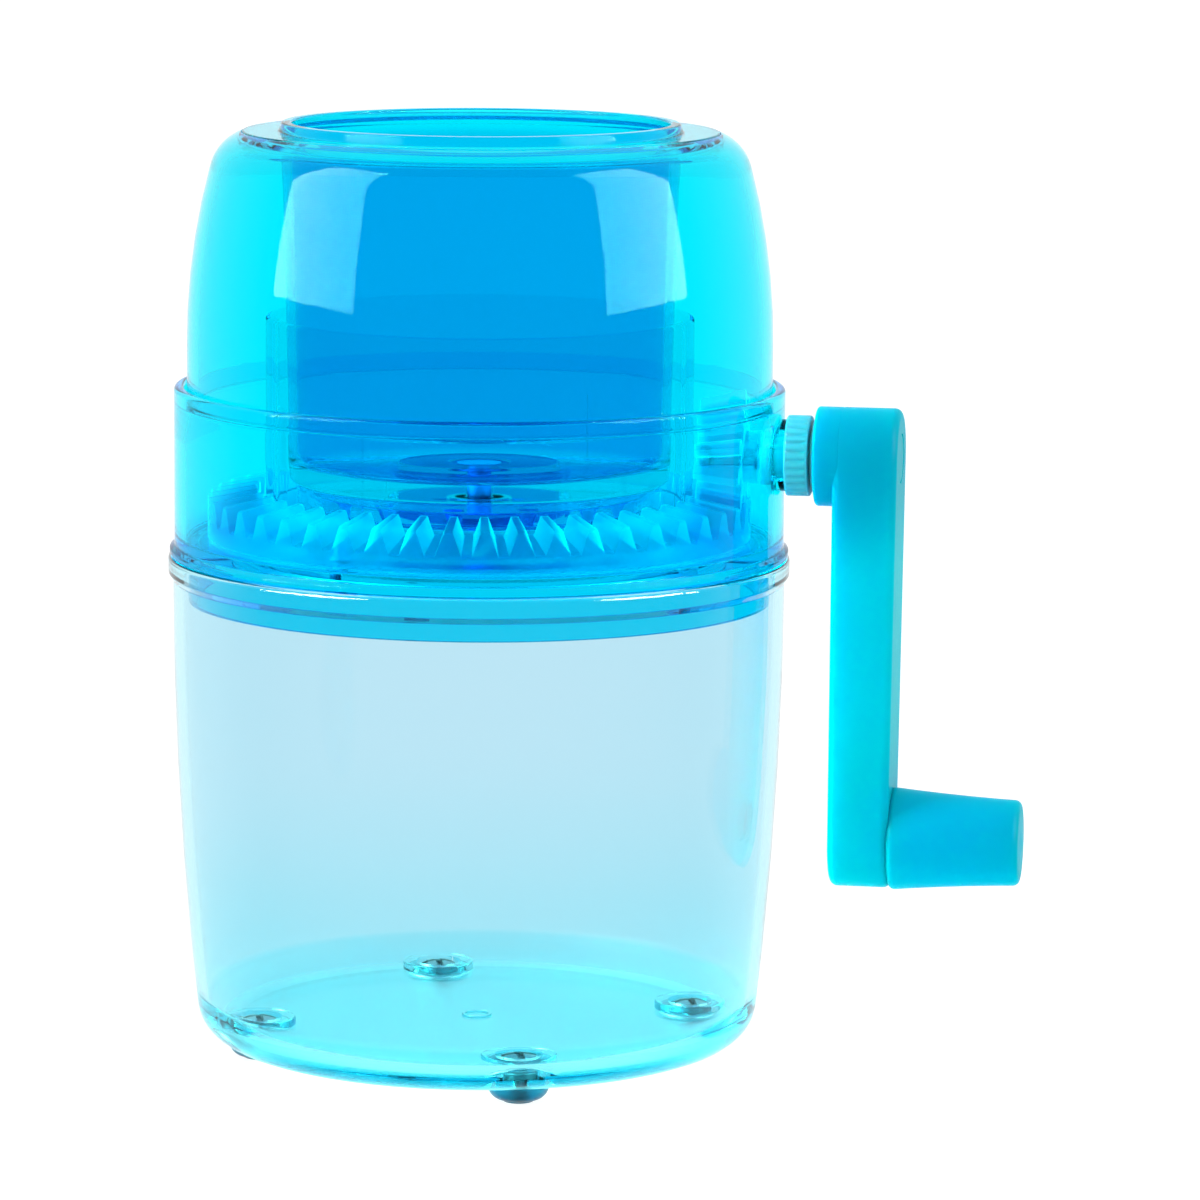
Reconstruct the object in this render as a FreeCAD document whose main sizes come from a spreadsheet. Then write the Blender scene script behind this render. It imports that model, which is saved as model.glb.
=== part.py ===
# Hand-cranked ice shaver, in millimetres.
# +Z is up, the origin is on the body's axis in the plane that the feet stand on,
# and the crank is on the +X side.
# Container, housing, ice drum and lid turn about Z; the crank train turns about X at the shaft's level.
import FreeCAD, Part
import os
from types import SimpleNamespace

import Sketcher

os.makedirs("parts", exist_ok=True)

cells = {
    # feet and container
    "foot_ring": 46.8, "foot_angle": 20.6, "foot_count": 4, "foot_radius": 6.35, "pad_radius": 4.0,
    "pad_lift": 0.5, "foot_height": 5.0, "foot_floor": 1.4, "floor_thickness": 2.4, "wall_foot": 58.6,
    "wall_radius": 64.3, "wall_sweep": 850.0, "bowl_wall": 2.1, "bead_low": 103.2, "bead_radius": 65.3,
    "bowl_top": 106.7, "bowl_corner": 8.0, "bowl_inner_corner": 5.8, "bead_round": 0.7,
    "boss_radius": 7.8, "boss_height": 1.6, "gate_radius": 3.2, "gate_width": 0.8, "gate_height": 0.4,
    "root": 0.5, "inner_foot": 56.75, "sink_radius": 4.9, "sink_depth": 2.0, "foot_hole": 1.6,
    "head_radius": 4.4, "head_height": 2.2, "head_edge": 0.9, "head_dome": 7.5, "head_clearance": 0.1,
    "cross_arm": 2.2, "cross_width": 0.9, "cross_depth": 1.1,
    # housing
    "collar_low": 97.7, "collar_radius": 61.1, "collar_wall": 1.9, "flange_low": 107.0,
    "flange_radius": 65.0, "flange_height": 1.4, "flange_slope": 0.8, "band_radius": 64.0,
    "band_top": 141.5, "band_bore": 61.7, "band_round": 0.9, "ledge_bore": 60.2, "ledge_top": 138.5,
    "ledge_height": 1.7, "ledge_slope": 1.2, "deck_low": 108.0, "deck_top": 110.4, "deck_bore": 40.0,
    "recess_radius": 46.3, "plate_thickness": 1.2, "plate_radius": 46.2, "plate_screw_ring": 43.5,
    "plate_screw_count": 3, "lug_radius": 3.2, "lug_height": 2.6, "plate_screw_radius": 1.2,
    "plate_head_radius": 2.2, "plate_screw_length": 4.6, "hole_clearance": 0.4, "slot_back": 1.2,
    "slot_front": 5.5, "slot_half": 33.0, "blade_back": 14.0, "blade_bend": 0.6, "blade_reach": 4.2,
    "blade_rise": 0.5, "blade_thickness": 1.0, "blade_length": 62.0, "blade_screw_back": 9.0,
    "blade_screw_side": 22.0, "blade_screw_radius": 1.25, "blade_head_radius": 2.6,
    "blade_head_height": 1.8, "blade_screw_below": 0.2, "blade_bend_low": 0.3,
    # shaft line
    "shaft_level": 129.3, "seat_radius": 7.5, "seat_inner": 61.2, "seat_outer": 65.0,
    "bush_radius": 5.0, "bush_flange": 6.2, "bush_start": 59.4, "bush_end": 70.2, "journal_radius": 3.0,
    "journal_gap": 0.05, "nut_radius": 8.4, "nut_end": 70.0, "flute_radius": 0.55, "flute_count": 28,
    "flute_land": 0.8, "square_side": 4.2, "shaft_start": 48.8, "journal_start": 58.0,
    "journal_end": 71.2, "shaft_end": 83.0, "pinion_inner": 46.6, "pinion_outer": 56.0,
    "pinion_hub": 6.0, "pinion_hub_end": 59.0, "pinion_sink": 3.4, "pinion_head": 3.0,
    "pinion_head_start": 46.9, "end_screw_radius": 1.25, "end_screw_tip": 56.0, "washer_radius": 7.5,
    "washer_start": 70.5,
    # bevel pair, sized where the pitch radii are gear_pitch and pinion_pitch
    "gear_pitch": 54.0, "pinion_pitch": 11.25, "addendum": 1.9, "dedendum": 2.7, "tooth_half": 1.56,
    "flank_slope": 0.364, "crown_teeth": 48, "pinion_teeth": 10, "base_radius": 10.57,
    "base_half": 1.63, "root_half": 1.3, "tip_half": 0.7, "crown_outer": 57.0, "crown_inner": 46.6,
    "tooth_sink": 0.5,
    # drum
    "drum_radius": 44.8, "drum_bore": 42.4, "drum_low": 110.8, "drum_top": 157.0, "drum_flange": 50.0,
    "flange_thickness": 2.0, "crown_recess": 50.1, "gear_fit": 0.05, "rib_tip": 41.0, "rib_width": 2.4,
    "rib_height": 26.0, "rib_count": 6, "rib_root": 0.6, "gear_screw_ring": 47.4, "gear_screw_count": 3,
    "gear_screw_radius": 1.2, "gear_head_radius": 2.2, "gear_head_sink": 1.1, "gear_head_below": 0.2,
    "gear_screw_top": 115.6,
    # crank and grip
    "crank_radius": 80.2, "hub_radius": 10.35, "arm_inner": 76.2, "arm_outer_top": 88.4,
    "arm_outer_low": 87.0, "arm_round": 1.6, "arm_screw_hole": 1.6, "arm_screw_seat": 84.4,
    "arm_sink": 5.2, "arm_head_radius": 3.2, "arm_head_end": 86.2, "arm_screw_tip": 75.0,
    "cap_start": 86.4, "cap_end": 88.7, "cap_round": 0.6, "pin_radius": 2.5, "pin_head_radius": 4.4,
    "pin_head_start": 76.5, "pin_head_end": 78.4, "pin_sink": 4.5, "pin_end": 109.6,
    "rivet_radius": 3.2, "rivet_end": 110.4, "grip_washer_start": 108.6, "grip_washer_radius": 5.2,
    "grip_start": 87.6, "grip_end": 115.0, "grip_root": 10.8, "grip_tip": 8.9, "grip_round": 1.4,
    "pin_gap": 0.06, "grip_chamber": 6.0, "chamber_start": 108.2, "grip_cap_seat": 113.0,
    "grip_cap_radius": 7.0, "grip_crown": 115.4, "grip_cap_dome": 60.0,
    # lid
    "skirt_low": 138.8, "dome_radius": 61.3, "dome_wall": 2.2, "skirt_top": 151.0, "dome_sweep": 141.0,
    "shoulder_radius": 56.34, "shoulder_level": 188.4, "shoulder_round": 10.0, "ring_radius": 49.9,
    "ring_level": 195.36, "rebate_level": 193.9, "dome_opening": 44.0, "inner_shoulder_radius": 54.38,
    "inner_shoulder_level": 186.9, "inner_round": 8.0, "inner_top_radius": 49.5,
    "inner_top_level": 192.3, "cup_flange": 49.8, "cup_flange_top": 195.6, "cup_top": 197.4,
    "cup_top_radius": 42.3, "cup_mouth": 40.1, "cup_low_radius": 39.8, "cup_bore": 38.0,
    "cup_low": 122.6, "rim_slope": 0.6, "cup_floor": 125.7, "cup_corner": 5.0, "press_head_radius": 4.6,
    "press_head_top": 127.9, "press_screw_radius": 2.5, "press_washer_radius": 5.5,
    "press_washer_low": 116.9, "press_washer_top": 117.9,
    # press plate
    "press_radius": 38.2, "press_top": 122.2, "press_low": 119.9, "press_hub": 18.0,
    "press_hub_low": 115.2, "press_chamber": 7.0, "press_chamber_top": 118.3, "press_ring_bore": 33.0,
    "press_ring_low": 117.0, "spike_ring": 29.0, "spike_count": 12, "spike_radius": 2.4,
    "spike_tip_radius": 0.4, "spike_root": 0.2, "spike_low": 115.2,
}

doc = FreeCAD.newDocument("IceShaver")
sheet = doc.addObject("Spreadsheet::Sheet", "Sizes")
for row, (alias, number) in enumerate(cells.items(), start=1):
    sheet.set(f"A{row}", alias)
    sheet.set(f"B{row}", str(number))
    sheet.setAlias(f"B{row}", alias)
doc.recompute()


class Size:
    """A number together with the expression that binds it to the sheet."""

    def __init__(self, number, words):
        self.number, self.words = number, words

    def joined(self, other, sign, number):
        right = other.words if isinstance(other, Size) else str(other)
        return Size(number, f"({self.words} {sign} {right})")

    def __add__(self, other):
        return self.joined(other, "+", self.number + plain(other))

    def __sub__(self, other):
        return self.joined(other, "-", self.number - plain(other))

    def __mul__(self, other):
        return self.joined(other, "*", self.number * plain(other))

    def __truediv__(self, other):
        return self.joined(other, "/", self.number / plain(other))

    def __neg__(self):
        return Size(-self.number, f"(0 - {self.words})")


def plain(value):
    return value.number if isinstance(value, Size) else float(value)


dim = SimpleNamespace(**{alias: Size(float(number), f"Sizes.{alias}") for alias, number in cells.items()})
zero, one = Size(0.0, "0"), Size(1.0, "1")
about_z = FreeCAD.Placement(FreeCAD.Vector(), FreeCAD.Rotation(FreeCAD.Vector(0, 0, 1), 1.0))
match = 0.05  # how closely a found edge has to agree with the size it is looked up by
parts = []


# Helpers

def bind(thing, field, value):
    """Set a field of an object from the sheet, or from a plain number."""
    if isinstance(value, Size):
        thing.setExpression(field, value.words)
    else:
        setattr(thing, field, value)


def new_body(label, level=None, turn=None):
    """A body for one sub-part, raised to a level or turned about Z."""
    body = doc.addObject("PartDesign::Body", label)
    body.Label = label
    if level is not None:
        body.setExpression("Placement.Base.z", level.words)
    if turn is not None:
        body.Placement = about_z
        body.setExpression("Placement.Rotation.Angle", turn.words)
    parts.append(body)
    return body


def origin_item(body, role):
    return next(item for item in body.Origin.OriginFeatures if item.Role == role)


def new_sketch(body, plane, offset=None, turn=None):
    sketch = body.newObject("Sketcher::SketchObject", f"{body.Label}_sketch")
    sketch.AttachmentSupport = [(origin_item(body, plane), "")]
    sketch.MapMode = "FlatFace"
    if turn is not None:
        sketch.AttachmentOffset = about_z
        sketch.setExpression("AttachmentOffset.Rotation.Angle", turn.words)
    if offset is not None:
        sketch.setExpression("AttachmentOffset.Base.z", offset.words)
    return sketch


def hold(sketch, kind, places, value):
    """Add a dimension to a sketch and bind it to the sheet."""
    index = sketch.addConstraint(Sketcher.Constraint(kind, *places, plain(value)))
    if isinstance(value, Size):
        sketch.setExpression(f"Constraints[{index}]", value.words)


def hold_point(sketch, item, spot, across, up):
    """Fix a point of a sketch by its two coordinates."""
    if plain(across) == 0:
        sketch.addConstraint(Sketcher.Constraint("PointOnObject", item, spot, -2))
    else:
        hold(sketch, "DistanceX", (-1, 1, item, spot), across)
    if plain(up) == 0:
        sketch.addConstraint(Sketcher.Constraint("PointOnObject", item, spot, -1))
    else:
        hold(sketch, "DistanceY", (-1, 1, item, spot), up)


def arc_between(start, end, radius, turn):
    """The short arc from start to end; turn is 1 for anticlockwise travel and -1 for clockwise."""
    chord = end - start
    half = chord.Length / 2
    side = FreeCAD.Vector(chord.y, -chord.x, 0).normalize() * turn
    rise = radius - (radius * radius - half * half) ** 0.5
    return Part.Arc(start, (start + end) / 2 + side * rise, end)


def outline(sketch, corners):
    """A closed outline; a corner may add the radius and turn of the arc that leads to it."""
    spots = [FreeCAD.Vector(plain(corner[0]), plain(corner[1]), 0) for corner in corners]
    ends = []
    for index, corner in enumerate(corners):
        start, end = spots[index - 1], spots[index]
        if len(corner) == 4:
            item = sketch.addGeometry(arc_between(start, end, plain(corner[2]), corner[3]))
            hold(sketch, "Radius", (item,), corner[2])
        else:
            item = sketch.addGeometry(Part.LineSegment(start, end))
        gaps = [(sketch.getPoint(item, tip) - start).Length for tip in (1, 2)]
        first = 1 if gaps[0] < gaps[1] else 2
        ends.append((item, first, 3 - first))
    for index, corner in enumerate(corners):
        item, _, last = ends[index]
        following, first, _ = ends[(index + 1) % len(corners)]
        sketch.addConstraint(Sketcher.Constraint("Coincident", item, last, following, first))
        hold_point(sketch, item, last, corner[0], corner[1])


def circle(sketch, radius, across=zero, up=zero):
    centre = FreeCAD.Vector(plain(across), plain(up), 0)
    item = sketch.addGeometry(Part.Circle(centre, FreeCAD.Vector(0, 0, 1), plain(radius)))
    hold(sketch, "Radius", (item,), radius)
    hold_point(sketch, item, 3, across, up)


def rectangle(sketch, low, high, half):
    """A rectangle from low to high along the sketch's first axis, half to each side of it."""
    outline(sketch, [(low, -half), (high, -half), (high, half), (low, half)])


def square(sketch, side):
    rectangle(sketch, -(side / 2), side / 2, side / 2)


def feature(body, kind, sketch, **settings):
    item = body.newObject(f"PartDesign::{kind}", f"{body.Label}_{kind.lower()}")
    item.Profile = sketch
    for name, value in settings.items():
        bind(item, name, value)
    sketch.Visibility = False
    return item


def revolve(body, corners, axis="V_Axis", offset=None, axis_at=None, kind="Revolution"):
    """Turn an outline in the XZ plane about an axis of its sketch, or about an upright line at axis_at."""
    sketch = new_sketch(body, "XZ_Plane", offset)
    outline(sketch, corners)
    if axis_at is not None:
        foot = FreeCAD.Vector(plain(axis_at), 0, 0)
        line = sketch.addGeometry(Part.LineSegment(foot, foot + FreeCAD.Vector(0, 1, 0)), True)
        hold_point(sketch, line, 1, axis_at, zero)
        hold_point(sketch, line, 2, axis_at, one)
        axis = "Axis0"
    return feature(body, kind, sketch, ReferenceAxis=(sketch, [axis]), Angle=360.0)


def repeat(body, count, steps, axis="Z_Axis"):
    """Repeat features round an axis of the body."""
    item = body.newObject("PartDesign::PolarPattern", f"{body.Label}_pattern")
    item.Originals = steps
    item.Axis = (origin_item(body, axis), [""])
    item.Angle = 360
    item.setExpression("Occurrences", count.words)
    body.Tip = item


def cut(body, sketch, length=None, reverse=False, both_ways=False):
    """A pocket, whose direction is proved by the volume that it takes away."""
    doc.recompute()
    before = body.Shape.Volume
    settings = {"Type": 1} if length is None else {"Length": length}
    item = feature(body, "Pocket", sketch, Reversed=reverse, Midplane=both_ways, **settings)
    doc.recompute()
    assert body.Shape.Volume < before - 1e-3, f"{item.Label} cuts nothing"
    return item


def pad(body, sketch, length, reverse=False, both_ways=False):
    return feature(body, "Pad", sketch, Length=length, Reversed=reverse, Midplane=both_ways)


def soften(body, radius, places):
    """Round the edges that turn about Z at the given radii and levels."""
    doc.recompute()
    names = []
    for reach, level in places:
        for index, edge in enumerate(body.Shape.Edges, start=1):
            curve = edge.Curve
            if not isinstance(curve, Part.Circle) or abs(curve.Radius - plain(reach)) > match:
                continue
            if (curve.Center - FreeCAD.Vector(0, 0, plain(level))).Length < match:
                names.append(f"Edge{index}")
    solid = body.Tip
    item = body.newObject("PartDesign::Fillet", f"{body.Label}_fillet")
    item.Base = (solid, names)
    bind(item, "Radius", radius)
    body.Tip = item
    doc.recompute()


# Container and feet

def make_container():
    base, floor = dim.foot_height, dim.foot_height + dim.floor_thickness
    body = new_body("container")
    revolve(body, [
        (zero, base), (dim.wall_foot, base), (dim.wall_radius, dim.bead_low, dim.wall_sweep, 1),
        (dim.bead_radius, dim.bead_low), (dim.bead_radius, dim.bowl_top),
        (dim.wall_radius - dim.bowl_wall, dim.bowl_top),
        (dim.inner_foot, floor, dim.wall_sweep, -1), (zero, floor),
    ])
    soften(body, dim.bowl_corner, [(dim.wall_foot, base)])
    soften(body, dim.bowl_inner_corner, [(dim.inner_foot, floor)])
    soften(body, dim.bead_round, [(dim.bead_radius, dim.bead_low), (dim.bead_radius, dim.bowl_top)])
    boss = new_sketch(body, "XY_Plane", floor - dim.root, dim.foot_angle)
    circle(boss, dim.boss_radius, dim.foot_ring)
    boss_pad = pad(body, boss, dim.boss_height + dim.root)
    sink = new_sketch(body, "XY_Plane", floor + dim.boss_height, dim.foot_angle)
    circle(sink, dim.sink_radius, dim.foot_ring)
    sink_cut = cut(body, sink, dim.sink_depth)
    hole = new_sketch(body, "XY_Plane", floor, dim.foot_angle)
    circle(hole, dim.foot_hole, dim.foot_ring)
    hole_cut = cut(body, hole)
    repeat(body, dim.foot_count, [boss_pad, sink_cut, hole_cut])
    gate = new_sketch(body, "XY_Plane", floor - dim.root)
    circle(gate, dim.gate_radius)
    circle(gate, dim.gate_radius - dim.gate_width)
    body.Tip = pad(body, gate, dim.gate_height + dim.root)


def quarter_turns(count):
    return Size(90.0 * count, f"(90 * {count})")


def make_feet():
    top = dim.foot_height
    round_radius = dim.foot_radius - dim.pad_radius
    for index in range(int(plain(dim.foot_count))):
        body = new_body(f"foot_{index + 1}")
        turn = (dim.foot_angle + quarter_turns(index)).words
        body.setExpression("Placement.Base.x", f"{dim.foot_ring.words} * cos({turn})")
        body.setExpression("Placement.Base.y", f"{dim.foot_ring.words} * sin({turn})")
        revolve(body, [
            (zero, zero), (dim.pad_radius, zero), (dim.pad_radius, dim.pad_lift),
            (dim.foot_radius, dim.pad_lift + round_radius, round_radius, 1), (dim.foot_radius, top),
            (dim.foot_hole, top), (dim.foot_hole, dim.foot_floor), (zero, dim.foot_floor),
        ])


def make_foot_screws():
    seat = dim.foot_height + dim.floor_thickness + dim.boss_height - dim.sink_depth
    top = seat + dim.head_height
    body = new_body("foot_screws", turn=dim.foot_angle)
    screw = revolve(body, [
        (dim.foot_ring, dim.foot_floor), (dim.foot_ring + dim.foot_hole, dim.foot_floor),
        (dim.foot_ring + dim.foot_hole, seat), (dim.foot_ring + dim.head_radius, seat),
        (dim.foot_ring + dim.head_radius, seat + dim.head_edge), (dim.foot_ring, top, dim.head_dome, 1),
    ], axis_at=dim.foot_ring)
    repeat(body, dim.foot_count, [screw])
    for index in range(int(plain(dim.foot_count))):
        for across, along in ((dim.cross_arm, dim.cross_width / 2), (dim.cross_width / 2, dim.cross_arm)):
            arm = new_sketch(body, "XY_Plane", top + dim.head_clearance, quarter_turns(index))
            rectangle(arm, dim.foot_ring - across, dim.foot_ring + across, along)
            body.Tip = cut(body, arm, dim.cross_depth + dim.head_clearance)


# Housing

def make_housing_shell():
    collar_bore = dim.collar_radius - dim.collar_wall
    recess = dim.deck_top - dim.plate_thickness
    body = new_body("housing_shell")
    revolve(body, [
        (collar_bore, dim.collar_low), (dim.collar_radius, dim.collar_low),
        (dim.collar_radius, dim.flange_low),
        (dim.flange_radius, dim.flange_low), (dim.flange_radius, dim.flange_low + dim.flange_height),
        (dim.band_radius, dim.flange_low + dim.flange_height + dim.flange_slope),
        (dim.band_radius, dim.band_top),
        (dim.band_bore, dim.band_top), (dim.band_bore, dim.ledge_top), (dim.ledge_bore, dim.ledge_top),
        (dim.ledge_bore, dim.ledge_top - dim.ledge_height),
        (dim.band_bore, dim.ledge_top - dim.ledge_height - dim.ledge_slope), (dim.band_bore, dim.deck_top),
        (dim.recess_radius, dim.deck_top), (dim.recess_radius, recess), (dim.deck_bore, recess),
        (dim.deck_bore, dim.deck_low), (collar_bore, dim.deck_low),
    ])
    soften(body, dim.band_round, [(dim.band_radius, dim.band_top), (dim.band_bore, dim.band_top)])
    seat = new_sketch(body, "YZ_Plane", dim.seat_inner)
    circle(seat, dim.seat_radius, zero, dim.shaft_level)
    pad(body, seat, dim.seat_outer - dim.seat_inner)
    bore = new_sketch(body, "YZ_Plane", dim.seat_outer)
    circle(bore, dim.bush_radius, zero, dim.shaft_level)
    cut(body, bore, dim.seat_outer - dim.seat_inner)
    lug = new_sketch(body, "XY_Plane", dim.deck_low - dim.lug_height)
    circle(lug, dim.lug_radius, dim.plate_screw_ring)
    lug_pad = pad(body, lug, dim.lug_height)
    hole = new_sketch(body, "XY_Plane", recess)
    circle(hole, dim.plate_screw_radius, dim.plate_screw_ring)
    hole_cut = cut(body, hole, dim.plate_screw_length - dim.plate_thickness + dim.hole_clearance)
    repeat(body, dim.plate_screw_count, [lug_pad, hole_cut])


def make_blade_plate():
    body = new_body("blade_plate")
    low = dim.deck_top - dim.plate_thickness
    disc = new_sketch(body, "XY_Plane", low)
    circle(disc, dim.plate_radius)
    pad(body, disc, dim.plate_thickness)
    slot = new_sketch(body, "XY_Plane", dim.deck_top)
    rectangle(slot, -dim.slot_back, dim.slot_front, dim.slot_half)
    cut(body, slot)
    for side in (1, -1):
        hole = new_sketch(body, "XY_Plane", dim.deck_top)
        circle(hole, dim.blade_screw_radius, -dim.blade_screw_back, dim.blade_screw_side * side)
        cut(body, hole)
    ring, head, shank = dim.plate_screw_ring, dim.plate_head_radius, dim.plate_screw_radius
    sink_cut = revolve(body, [
        (ring, low), (ring + shank, low), (ring + head, dim.deck_top), (ring, dim.deck_top),
    ], axis_at=ring, kind="Groove")
    repeat(body, dim.plate_screw_count, [sink_cut])


def make_plate_screws():
    ring, head, shank = dim.plate_screw_ring, dim.plate_head_radius, dim.plate_screw_radius
    low = dim.deck_top - dim.plate_thickness
    body = new_body("plate_screws")
    screw = revolve(body, [
        (ring, dim.deck_top - dim.plate_screw_length),
        (ring + shank, dim.deck_top - dim.plate_screw_length),
        (ring + shank, low), (ring + head, dim.deck_top), (ring, dim.deck_top),
    ], axis_at=ring)
    repeat(body, dim.plate_screw_count, [screw])


def make_blade():
    """A strip under the plate, bent up through the slot to a sharp edge just above the deck."""
    top = dim.deck_top - dim.plate_thickness
    low = top - dim.blade_thickness
    body = new_body("blade")
    side = new_sketch(body, "XZ_Plane")
    outline(side, [
        (-dim.blade_back, low), (-dim.blade_bend_low, low),
        (dim.blade_reach, dim.deck_top + dim.blade_rise),
        (-dim.blade_bend, top), (-dim.blade_back, top),
    ])
    pad(body, side, dim.blade_length, both_ways=True)
    for way in (1, -1):
        hole = new_sketch(body, "XY_Plane", top)
        circle(hole, dim.blade_screw_radius, -dim.blade_screw_back, dim.blade_screw_side * way)
        cut(body, hole, dim.blade_thickness)


def make_blade_screws():
    seat = dim.deck_top - dim.plate_thickness - dim.blade_thickness
    across = -dim.blade_screw_back
    body = new_body("blade_screws")
    screw = revolve(body, [
        (across, seat - dim.blade_head_height),
        (across + dim.blade_head_radius, seat - dim.blade_head_height),
        (across + dim.blade_head_radius, seat), (across + dim.blade_screw_radius, seat),
        (across + dim.blade_screw_radius, dim.deck_top - dim.blade_screw_below),
        (across, dim.deck_top - dim.blade_screw_below),
    ], offset=dim.blade_screw_side, axis_at=across)
    mirror = body.newObject("PartDesign::Mirrored", "blade_screws_mirror")
    mirror.Originals = [screw]
    mirror.MirrorPlane = (origin_item(body, "XZ_Plane"), [""])
    body.Tip = mirror


def make_shaft_bush():
    bore = dim.journal_radius + dim.journal_gap
    body = new_body("shaft_bush", dim.shaft_level)
    revolve(body, [
        (dim.bush_start, bore), (dim.bush_end, bore), (dim.bush_end, dim.bush_radius),
        (dim.seat_inner, dim.bush_radius), (dim.seat_inner, dim.bush_flange),
        (dim.bush_start, dim.bush_flange),
    ], "H_Axis")


def make_shaft_nut():
    """A fluted ring that clamps the bush against the housing."""
    body = new_body("shaft_nut", dim.shaft_level)
    revolve(body, [
        (dim.seat_outer, dim.bush_radius), (dim.nut_end, dim.bush_radius), (dim.nut_end, dim.nut_radius),
        (dim.seat_outer, dim.nut_radius),
    ], "H_Axis")
    flute = new_sketch(body, "YZ_Plane", dim.nut_end)
    circle(flute, dim.flute_radius, dim.nut_radius)
    flute_cut = cut(body, flute, dim.nut_end - dim.seat_outer - dim.flute_land)
    repeat(body, dim.flute_count, [flute_cut], "X_Axis")


# Crank train

def make_crank_shaft():
    """A round journal between two square ends, with a screw hole in each."""
    body = new_body("crank_shaft", dim.shaft_level)
    bar = new_sketch(body, "YZ_Plane", dim.shaft_start)
    square(bar, dim.square_side)
    pad(body, bar, dim.shaft_end - dim.shaft_start)
    journal = new_sketch(body, "YZ_Plane", dim.journal_start)
    circle(journal, dim.journal_radius)
    pad(body, journal, dim.journal_end - dim.journal_start)
    inner = new_sketch(body, "YZ_Plane", dim.shaft_start)
    circle(inner, dim.end_screw_radius)
    cut(body, inner, dim.end_screw_tip - dim.shaft_start, reverse=True)
    outer = new_sketch(body, "YZ_Plane", dim.shaft_end)
    circle(outer, dim.arm_screw_hole)
    cut(body, outer, dim.shaft_end - dim.arm_screw_tip)


def cone_at(pitch_offset, reach):
    """Distance from the shaft's axis, at reach along it, of a cone with its tip where the axes cross."""
    return (dim.pinion_pitch + pitch_offset) * reach / dim.gear_pitch


def tooth_loft(body, near, far, section):
    """A straight bevel tooth: one section scaled towards the point where the two axes cross."""
    sketches = []
    for reach in (near, far):
        sketch = new_sketch(body, "YZ_Plane", reach)
        outline(sketch, section(reach))
        sketches.append(sketch)
    tooth = feature(body, "AdditiveLoft", sketches[0], Ruled=True)
    tooth.Sections = [sketches[1]]
    sketches[1].Visibility = False
    return tooth


def make_pinion():
    body = new_body("pinion", dim.shaft_level)
    near, far = dim.pinion_inner, dim.pinion_outer
    revolve(body, [
        (near, zero), (dim.pinion_hub_end, zero), (dim.pinion_hub_end, dim.pinion_hub),
        (far, dim.pinion_hub),
        (far, cone_at(-dim.dedendum, far)), (near, cone_at(-dim.dedendum, near)),
    ], "H_Axis")

    def section(reach):
        scale = reach / dim.gear_pitch
        right = [
            (dim.root_half * scale, cone_at(-(dim.dedendum + dim.tooth_sink), reach)),
            (dim.base_half * scale, dim.base_radius * scale),
            (dim.tooth_half * scale, cone_at(zero, reach)),
            (dim.tip_half * scale, cone_at(dim.addendum, reach)),
        ]
        return right + [(-across, up) for across, up in reversed(right)]

    tooth = tooth_loft(body, near, far, section)
    repeat(body, dim.pinion_teeth, [tooth], "X_Axis")
    bore = new_sketch(body, "YZ_Plane", dim.pinion_hub_end)
    square(bore, dim.square_side)
    cut(body, bore)
    neck = new_sketch(body, "YZ_Plane", dim.pinion_hub_end)
    circle(neck, dim.journal_radius)
    cut(body, neck, dim.pinion_hub_end - dim.journal_start)
    sink = new_sketch(body, "YZ_Plane", near)
    circle(sink, dim.pinion_sink)
    body.Tip = cut(body, sink, dim.shaft_start - near, reverse=True)


def turned_on_shaft(label, corners, level=None):
    """A piece turned about the shaft's axis, or about the grip's."""
    body = new_body(label, level or dim.shaft_level)
    revolve(body, corners, "H_Axis")
    return body


def make_crank_hardware():
    turned_on_shaft("pinion_screw", [
        (dim.pinion_head_start, zero), (dim.end_screw_tip, zero), (dim.end_screw_tip, dim.end_screw_radius),
        (dim.shaft_start, dim.end_screw_radius), (dim.shaft_start, dim.pinion_head),
        (dim.pinion_head_start, dim.pinion_head),
    ])
    turned_on_shaft("shaft_washer", [
        (dim.washer_start, dim.journal_radius), (dim.journal_end, dim.journal_radius),
        (dim.journal_end, dim.washer_radius), (dim.washer_start, dim.washer_radius),
    ])
    turned_on_shaft("arm_screw", [
        (dim.arm_screw_tip, zero), (dim.arm_head_end, zero), (dim.arm_head_end, dim.arm_head_radius),
        (dim.arm_screw_seat, dim.arm_head_radius), (dim.arm_screw_seat, dim.arm_screw_hole),
        (dim.arm_screw_tip, dim.arm_screw_hole),
    ])
    turned_on_shaft("hub_cap", [
        (dim.cap_start, zero), (dim.cap_end, zero), (dim.cap_end, dim.arm_sink - dim.cap_round),
        (dim.cap_end - dim.cap_round, dim.arm_sink), (dim.cap_start, dim.arm_sink),
    ])


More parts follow.
